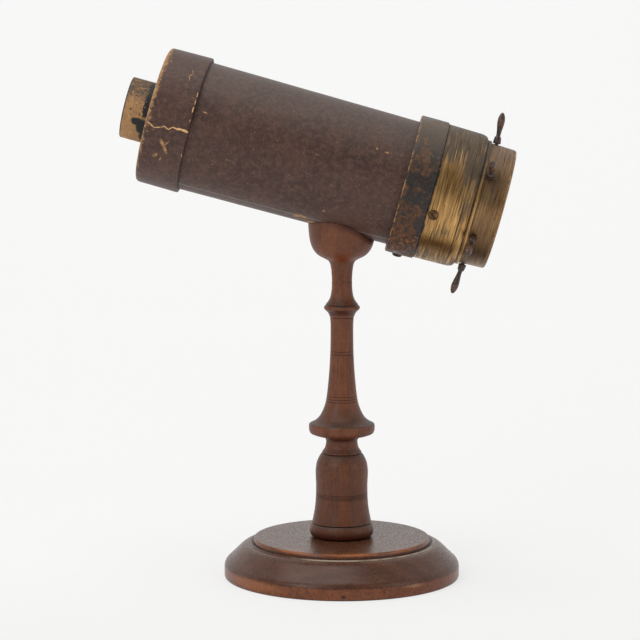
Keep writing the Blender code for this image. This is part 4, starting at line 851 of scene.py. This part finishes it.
def rubbed_brass(name, gold, bronze, brown, patina, dark_top, painted_glint, bright=(), dull=(), brown_spots=(),
                 spill=None):
    """Old brass: streaked round and round by rubbing, browned where hands miss it, specked with dark oxide, and given a
    painted glint along its bright streaks.
    """
    made, tree, place = new_finish(name)
    place = on_barrel(place)
    side = add_node(tree, "SeparateXYZ", {0: place}).outputs
    streaks = patches(place, 1.2, 0.4, 0.62, stretch=(0.035, 0.035, 1), detail=5.0)
    lines = patches(place, 0.75, 0.52, 0.64, stretch=(0.04, 0.04, 1), detail=3.0)
    shine = patches(place, 0.9, 0.55, 0.68, stretch=(0.05, 0.05, 1), detail=3.0)
    broad = patches(place, 4.0, 0.4, 0.62, stretch=(0.2, 0.2, 1), detail=5.0)
    cloud = patches(place, 8, 0.3, 0.7, stretch=(0.5, 0.5, 1), detail=6.0)
    specks = patches(place, 1.3, 0.67, 0.71, detail=2.0)
    tone = lay(tree, bronze, (gold, streaks), (brown, broad, 0.2))
    upper = add_node(tree, "MapRange", (side["X"], dark_top[0] * MM, dark_top[1] * MM, 0, 1.5))
    dulled = pile(tree, upper, (cloud, 0.52), (shine, -0.3), (streaks, -0.42))
    for spots, share in ((dull, 0.75), (bright, -0.4)):
        dulled = pile(tree, dulled, *((scuff(place, *spot, soft=0.8), share) for spot in spots))
    dulled = add_node(tree, "MapRange", (dulled, 0.12, 1.0))
    bare = add_node(tree, "Math", (1.0, dulled), "SUBTRACT")
    # Bright rubbed streaks with painted highlight: light gold along them, and a pale glint where the metal is bare.
    tone = lay(tree, tone, (patina, dulled, 0.9), (gold, shine, 0.22), ("#38281a", lines, 0.65),
               ("#e6c283", shine, bare, painted_glint))
    for spot in brown_spots:
        tone = lay(tree, tone, (brown, scuff(place, *spot, soft=0.8), 0.8))
    scratched = frayed("worn", place, 0.8)
    broken = patches(place, 5, 0.5, 0.62, detail=4.0)
    tone = lay(tree, tone, ("#241a13", specks, 0.9), ("#c9a266", scratched, broken, 0.75), ("#1e1610", "corner_grime_and_shade", 0.8))
    metal = add_node(tree, "MapRange", (dulled, 0, 1, 1.0, 0.55))
    if spill is not None:
        reach = patches(place, 5.0, 0.3, 0.7, detail=4.0)
        reach = add_node(tree, "MapRange", (reach, 0, 1, spill[0] * MM, spill[1] * MM))
        black = add_node(tree, "Math", (side["Z"], reach), "LESS_THAN")
        below = add_node(tree, "MapRange", (side["X"], -36 * MM, -26 * MM))
        black = add_node(tree, "Math", (black, below), "MULTIPLY")
        tone = lay(tree, tone, ("#242423", black))
        bare = add_node(tree, "Math", (1.0, black), "SUBTRACT")
        metal = add_node(tree, "Math", (metal, bare), "MULTIPLY")
    height = add_node(tree, "Math", (streaks, lines), "SUBTRACT")
    return end_finish(made, tone, (dulled, 0.38, 0.55), height, Metallic=metal)


collar = turn_piece("spun_brass_collar", drawn_line(COLLAR_LINE), BARREL_TURNS, hollow=True)
# Grime and painted shade: the corner between the neck and the shoulder, and the line at the shoulder's bead, are
# darkened.
rub(collar, "corner_grime_and_shade", [(41.3, 42, 86.7, 87.6), (44, 44.28, 81.15, 81.25)], fade=0.35)
lay_on_barrel(collar)
for turn in (NEAR_SCREW_TURN, FAR_SCREW_TURN):
    cut_away(collar, drill("collar_hole", turn, COLLAR_SCREW_AT))
GOLDEN = [(67, -78, 44.5, 24, 6, 6, 5), (71, -104, 44.5, 18, 7, 6, 6), (79, -72, 44.5, 14, 5, 6, 5),
          (68, 70, 44.5, 24, 6, 6, 6)]
DULLED = [(81, -122, 44.5, 9, 5, 5, 5), (73, -60, 44.5, 4.5, 8, 5, 5), (80.5, -90, 44.5, 22, 4.5, 5, 5),
          (70, -22, 44.5, 14, 16, 5, 4), (75, 120, 44.5, 16, 8, 5, 6)]
BROWNED = [(71, -47.5, 44.5, 5.0, 14, 8, 2)]
collar_brass = rubbed_brass("rubbed_spun_brass", "#cfa367", "#a67f52", "#614422", "#4f463d", (-6, -39), 0.38, GOLDEN,
                            DULLED, BROWNED, (60.2, 61.4))
fit(collar, collar_brass, "brass", "stand_and_barrel", "brass_collar")


# Screws
# Round-headed slotted screws: two brass ones through the collar, an iron one under the band, and the iron one that
# holds the barrel in its saddle. The slots are cut with a saw, and the brass and iron have browned with age.
SCREW_LINE = (
    (0, 1.5), ((1.4, 1.46), (2.4, 1.15), (3.05, 0.65), (3.34, 0.05), (3.34, 0)), (1.3, 0), (1.3, -5), (0, -5))
SCREW_TURNS = 48
SLOT_LENGTH, SLOT_WIDTH, SLOT_HEIGHT, SLOT_MIDDLE = 9, 1.0, 2.0, 1.5


def browned_metal(name, bright, brown, shine):
    """Screw metal: worn bright on the high places and brown with age elsewhere."""
    made, tree, place = new_finish(name, Metallic=1.0)
    aged = patches(place, 3.0, 0.3, 0.7, detail=3.0)
    fine = patches(place, 0.4, 0.35, 0.65)
    tone = lay(tree, bright, (brown, aged))
    return end_finish(made, tone, (aged, shine, 0.6), fine)


def slotted_screw(name, turn, along, radius, slot_turn, finish, slot, node):
    """A screw turned, slotted with a saw, and set in its hole at a turn round the barrel."""
    screw = turn_piece(name, drawn_line(SCREW_LINE), SCREW_TURNS)
    bpy.ops.object.select_all(action="DESELECT")
    bpy.ops.mesh.primitive_cube_add(size=1, location=(0, 0, SLOT_MIDDLE * MM))
    blade = bpy.context.object
    blade.scale = (SLOT_LENGTH * MM, SLOT_WIDTH * MM, SLOT_HEIGHT * MM)
    blade.rotation_euler = (0, 0, math.radians(slot_turn))
    bpy.ops.object.transform_apply(location=True, rotation=True, scale=True)
    cut_away(screw, blade)
    lay_on_barrel(screw, standing_out(turn, radius, along))
    fit(screw, finish, slot, "stand_and_barrel", node)


LONGEST_STEP = 0.8 * MM
brass_screw = browned_metal("browned_brass_screw", "#7c6243", "#5b4632", 0.42)
iron_screw = browned_metal("rusted_iron_screw", "#5e5148", "#3c2d25", 0.42)
slotted_screw("collar_screw_front", NEAR_SCREW_TURN, COLLAR_SCREW_AT, 44.92, -36, brass_screw, "brass",
              "collar_screw_near")
slotted_screw("collar_screw_back", FAR_SCREW_TURN, COLLAR_SCREW_AT, 44.92, 20, brass_screw, "brass",
              "collar_screw_far")
slotted_screw("band_screw_under", 0, BAND_SCREW_AT, 46.0, 65, iron_screw, "iron", "band_screw")
dress(iron_screw, "saddle_screw", "saddle_washer")


# Turning ring
# A brass drum turned from a casting: a rolled front lip, and a flange at the back that keeps it behind the collar's
# shoulder. It is duller than the collar, streaked and mottled brown.
RING_LINE = (
    (35.85, 106.7), (38.1, 106.7), ((38.9, 106.5), (39.4, 106), (39.6, 105.3)), (39.66, 104.6), ((39.58, 104.45),
    (39.67, 104.3)), ((40.1, 90.4), (40.14, 85.7)), (41.85, 85.7), (41.85, 84.3), (37.95, 84.3), (37.95, 105.6),
    (35.85, 105.6))
SPOKE_COUNT = 6
SPOKE_PLANE = 92.9
SPOKE_SEAT_R = 40.65
SPOKE_RAKE = math.radians(4.5)
STUD_HOLE_R, STUD_HOLE_LENGTH, STUD_HOLE_AT = 1.5, 7, -1.1


def spoke_place(number):
    """Where a spoke stands on the drum: the first is straight up, and all lean a little towards the barrel."""
    return standing_out(math.pi + number * 2 * math.pi / SPOKE_COUNT, SPOKE_SEAT_R, SPOKE_PLANE, SPOKE_RAKE)


LONGEST_STEP = 2.0 * MM
ring = turn_piece("turning_ring", drawn_line(RING_LINE), BARREL_TURNS, hollow=True)
rub(ring, "worn", [(39.3, 40, 105.6, 107)], fade=0.8, share=lambda at: 0.66 - 0.4 * at.x / 40)
lay_on_barrel(ring)
for number in range(SPOKE_COUNT):
    hole = new_prism("stud_hole", DRILL_SIDES, STUD_HOLE_R, STUD_HOLE_LENGTH)
    cut_away(ring, lay_on_barrel(hole, spoke_place(number) @ Matrix.Translation((0, 0, STUD_HOLE_AT * MM))))
RING_BROWNED = [(96, -44, 40, 18, 15, 5, 4), (94, -120, 40, 6, 7, 5, 4)]
ring_brass = rubbed_brass("dull_cast_brass", "#a5805a", "#87694b", "#4d3b2c", "#75604c", (-2, -52), 0.25,
                          brown_spots=RING_BROWNED)
fit(ring, ring_brass, "dull_brass", "object_cell", "cell_ring")
dress(ring_brass, "glass_clip", "eye_glass_ring")


# Spokes
# Six small handles of dark stained wood, each turned with a seat, a thin neck and a long bulb for the fingers, and
# screwed through the drum's wall by a stud turned on its end.
SPOKE_LINE = (
    (0, 20.45), ((0.5, 20.32), (1.05, 19.8), (1.55, 18.9), (2.05, 17.5), (2.32, 16), (2.38, 14.6), (2.26, 12.8),
    (1.98, 10.8), (1.68, 8.8), (1.46, 6.8), (1.42, 5.1)), ((1.55, 4.75), (1.88, 4.5)), ((2.08, 4.2), (2.34, 2.8),
    (2.5, 1.4), (2.55, 0.5), (2.4, 0.05)), (2.3, 0), (1.2, 0), (1.2, -2.7), (0, -2.7))
SPOKE_TURNS = 40
spoke_wood, tree, place = new_finish("dark_stained_hardwood", IOR=1.5, Coat_Weight=0.15, Coat_Roughness=0.3)
figure = patches(place, 2.2, 0.36, 0.66)
fine = patches(place, 0.6, 0.35, 0.68)
tone = lay(tree, "#33221b", ("#4c342a", figure), ("#1f1410", fine, 0.35), ("#664435", "worn", figure))
end_finish(spoke_wood, tone, (figure, 0.36, 0.5), fine)
LONGEST_STEP = 0.9 * MM
pattern = turn_piece("spoke_handle_1", drawn_line(SPOKE_LINE), SPOKE_TURNS)
rub(pattern, "worn", [(2.1, 3, 12, 18.5)])
for number in range(SPOKE_COUNT):
    handle = pattern
    if number < SPOKE_COUNT - 1:
        handle = pattern.copy()
        handle.data = pattern.data.copy()
        bpy.context.scene.collection.objects.link(handle)
        handle.name = "spoke_handle_" + str(number + 1)
    lay_on_barrel(handle, spoke_place(number))
    fit(handle, spoke_wood, "spoke_wood", "object_cell", "spoke_" + str(number + 1))


# Cell glasses
# Two discs of window glass with a pasteboard ring between them make the box for the loose glass. The front one rests on
# the ring's lip, and a spring clip behind holds them all.
LONGEST_STEP = 8.0 * MM
glass_disc("cell_front_glass", 37.62, 103.3, 105.3, "outer_glass", "object_cell")
glass_disc("cell_back_glass", 37.62, 92.1, 94.1, "inner_glass", "object_cell")
dress(black_card, "cell_spacer")


# Loose glass
# What makes the pictures: coloured rods, beads, chips of sheet glass and two twisted canes, cut short, fire polished
# and thrown in loose. With the cell at rest they lie heaped on the spacing ring. The first nine take the places of the
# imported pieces.
GLASS_COLOURS = {"ruby": "#c41a2c", "amber": "#eca02a", "green": "#2c9a52", "cobalt": "#2850cc", "violet": "#8443bd",
                 "clear": "#e9f1ec"}
LOOSE_GLASS = (
    ("rod", "ruby", 31.4, -11.52, 98.7, 2.15, 7.7),
    ("bead", "cobalt", 32.71, -7.0, 98.7, 2.15, 3.6, 10),
    ("chip", "green", 33.38, -2.33, 98.7, 2.0, 5.4),
    ("rod", "amber", 33.37, 2.35, 98.7, 2.15, 7.7),
    ("chip", "violet", 32.71, 7.02, 98.7, 2.0, 5.4),
    ("bead", "ruby", 31.4, 11.52, 98.7, 2.15, 3.6, 60),
    ("chip", "amber", 28.17, -8.11, 98.7, 1.95, 5.4),
    ("rod", "green", 29.29, 0, 98.7, 2.15, 7.7),
    ("bead", "violet", 28.14, 8.13, 98.7, 2.15, 3.6, 120),
    ("bead", "amber", 29.48, -15.81, 98.5, 2.15, 3.4, 35),
    ("cane", "green", 27.05, -19.8, 98.7, 1.9, 7.2),
    ("rod", "violet", 29.55, 15.85, 98.7, 1.95, 6.8),
    ("chip", "cobalt", 26.7, 19.7, 98.4, 1.95, 6.0),
    ("bead", "amber", 29.3, -4.15, 96.8, 1.5, 2.4, 80),
    ("bead", "ruby", 29.35, -4.15, 100.6, 1.5, 2.4, 20),
    ("bead", "green", 29.3, 4.15, 96.6, 1.5, 2.4, 140),
    ("bead", "clear", 29.35, 4.15, 100.5, 1.5, 2.4, 65),
    ("cane", "ruby", 24.1, 0, 96.6, 1.3, 14.5, 90),
    ("rod", "cobalt", 23.5, 1.2, 100.8, 1.5, 11.6, 94),
    ("chip", "violet", 25.6, -12.5, 97.0, 2.3, 1.9),
    ("chip", "clear", 25.5, -12.6, 100.7, 2.3, 1.9),
    ("bead", "cobalt", 25.4, 12.7, 98.9, 2.05, 3.3, 15),
    ("rod", "amber", 22.5, -16.8, 98.9, 1.75, 6.6),
    ("rod", "ruby", 21.7, 16.9, 98.4, 1.75, 6.9),
    ("rod", "violet", 19.7, -3, 97.1, 1.3, 12.6, 78),
    ("chip", "green", 18.7, 0.6, 101.1, 2.7, 2.0),
    ("bead", "amber", 20.2, 9.1, 98.3, 1.85, 3.0, 100),
    ("rod", "clear", 20.3, -12.7, 98.8, 1.55, 6.2),
    ("bead", "violet", 16.1, -4.8, 100.5, 1.45, 2.3, 45),
)
PACKED_GLASS = 9
GLASS_TURNS = 32
BEAD_HOLE_R = 0.55
CHIP_SIDES = 5
CHIP_BLUNT = 0.16 * MM
CANE_THREADS, CANE_TWIST = 3, 2.2


def coloured_glass(colour):
    """Drawn or blown glass of one colour, with fine cords in it and dust on its skin."""
    made, tree, place = new_finish("drawn_glass_" + colour, IOR=1.52, Transmission_Weight=0.9)
    cords = patches(place, 1.2, 0.35, 0.7)
    dusty = patches(place, 2.5, 0.5, 0.75)
    tone = lay(tree, GLASS_COLOURS[colour], ("#f2ece0", cords, 0.18), ("#f4efe4", "twist"))
    clear = add_node(tree, "MapRange", ("twist", 0, 1, 0.6, 0.1))
    return end_finish(made, tone, (dusty, 0.03, 0.2), Transmission_Weight=clear)


def glass_rod(name, radius, length):
    """A short length of drawn rod, its cut ends rounded in the flame."""
    half = length / 2
    line = (((0, half), (radius * 0.5, half - 0.05), (radius * 0.88, half - 0.35), (radius, half - 0.9)),
            ((radius * 0.98, 0), (radius, 0.9 - half)),
            ((radius * 0.88, 0.35 - half), (radius * 0.5, 0.05 - half), (0, -half)))
    return turn_piece(name, drawn_line(line), GLASS_TURNS)


def glass_cane(name, radius, length):
    """A rod drawn from a bundle while it was twisted, so that white threads wind through it."""
    cane = glass_rod(name, radius, length)
    marks = cane.data.attributes.new("twist", "FLOAT", "POINT")
    for point, mark in zip(cane.data.vertices, marks.data):
        wound = math.atan2(point.co.y, point.co.x) * CANE_THREADS + point.co.z / MM * CANE_TWIST
        mark.value = max(0, math.sin(wound)) ** 2
    return cane


def glass_bead(name, radius, length):
    """A bead wound on a wire, which left its hole."""
    hole, half = BEAD_HOLE_R, length / 2
    line = (((hole, half), ((radius + hole) * 0.55, half * 0.98), (radius * 0.9, half * 0.55), (radius, 0),
             (radius * 0.9, -half * 0.55), ((radius + hole) * 0.55, -half * 0.98), (hole, -half)), (hole, half))
    return turn_piece(name, drawn_line(line)[:-1], GLASS_TURNS, hollow=True)


def glass_chip(name, radius, length):
    """A chip nipped from a sheet or slab: five uneven sides with their edges a little blunted."""
    chip = new_prism(name, CHIP_SIDES, radius, length)
    chance = random.Random(name)
    for point in chip.data.vertices:
        reach = chance.uniform(0.8, 1)
        point.co = Vector((point.co.x * reach, point.co.y * reach, point.co.z * chance.uniform(0.86, 1)))
    bpy.ops.object.mode_set(mode="EDIT")
    bpy.ops.mesh.select_all(action="SELECT")
    bpy.ops.mesh.bevel(offset=CHIP_BLUNT, segments=2)
    bpy.ops.mesh.quads_convert_to_tris()
    bpy.ops.mesh.normals_make_consistent(inside=False)
    bpy.ops.object.mode_set(mode="OBJECT")
    return chip


LONGEST_STEP = 1.5 * MM
CURVE_PARTS = 3
glass_kinds = {"rod": glass_rod, "cane": glass_cane, "bead": glass_bead, "chip": glass_chip}
glass_finishes = {colour: coloured_glass(colour) for colour in GLASS_COLOURS}
for number, (kind, colour, down, across, along, radius, length, *lean) in enumerate(LOOSE_GLASS, 1):
    bit = glass_kinds[kind](f"loose_{kind}_{colour}_{number}", radius, length)
    place = Matrix.Translation((down * MM, across * MM, along * MM))
    if lean:
        place = place @ Matrix.Rotation(math.radians(*lean), 4, "Z") @ Matrix.Rotation(math.pi / 2, 4, "Y")
    lay_on_barrel(bit, place)
    nodes = [f"glass_{kind.replace('chip', 'shard')}_{colour}"] if number <= PACKED_GLASS else []
    fit(bit, glass_finishes[colour], colour + "_glass", "object_cell", *nodes)
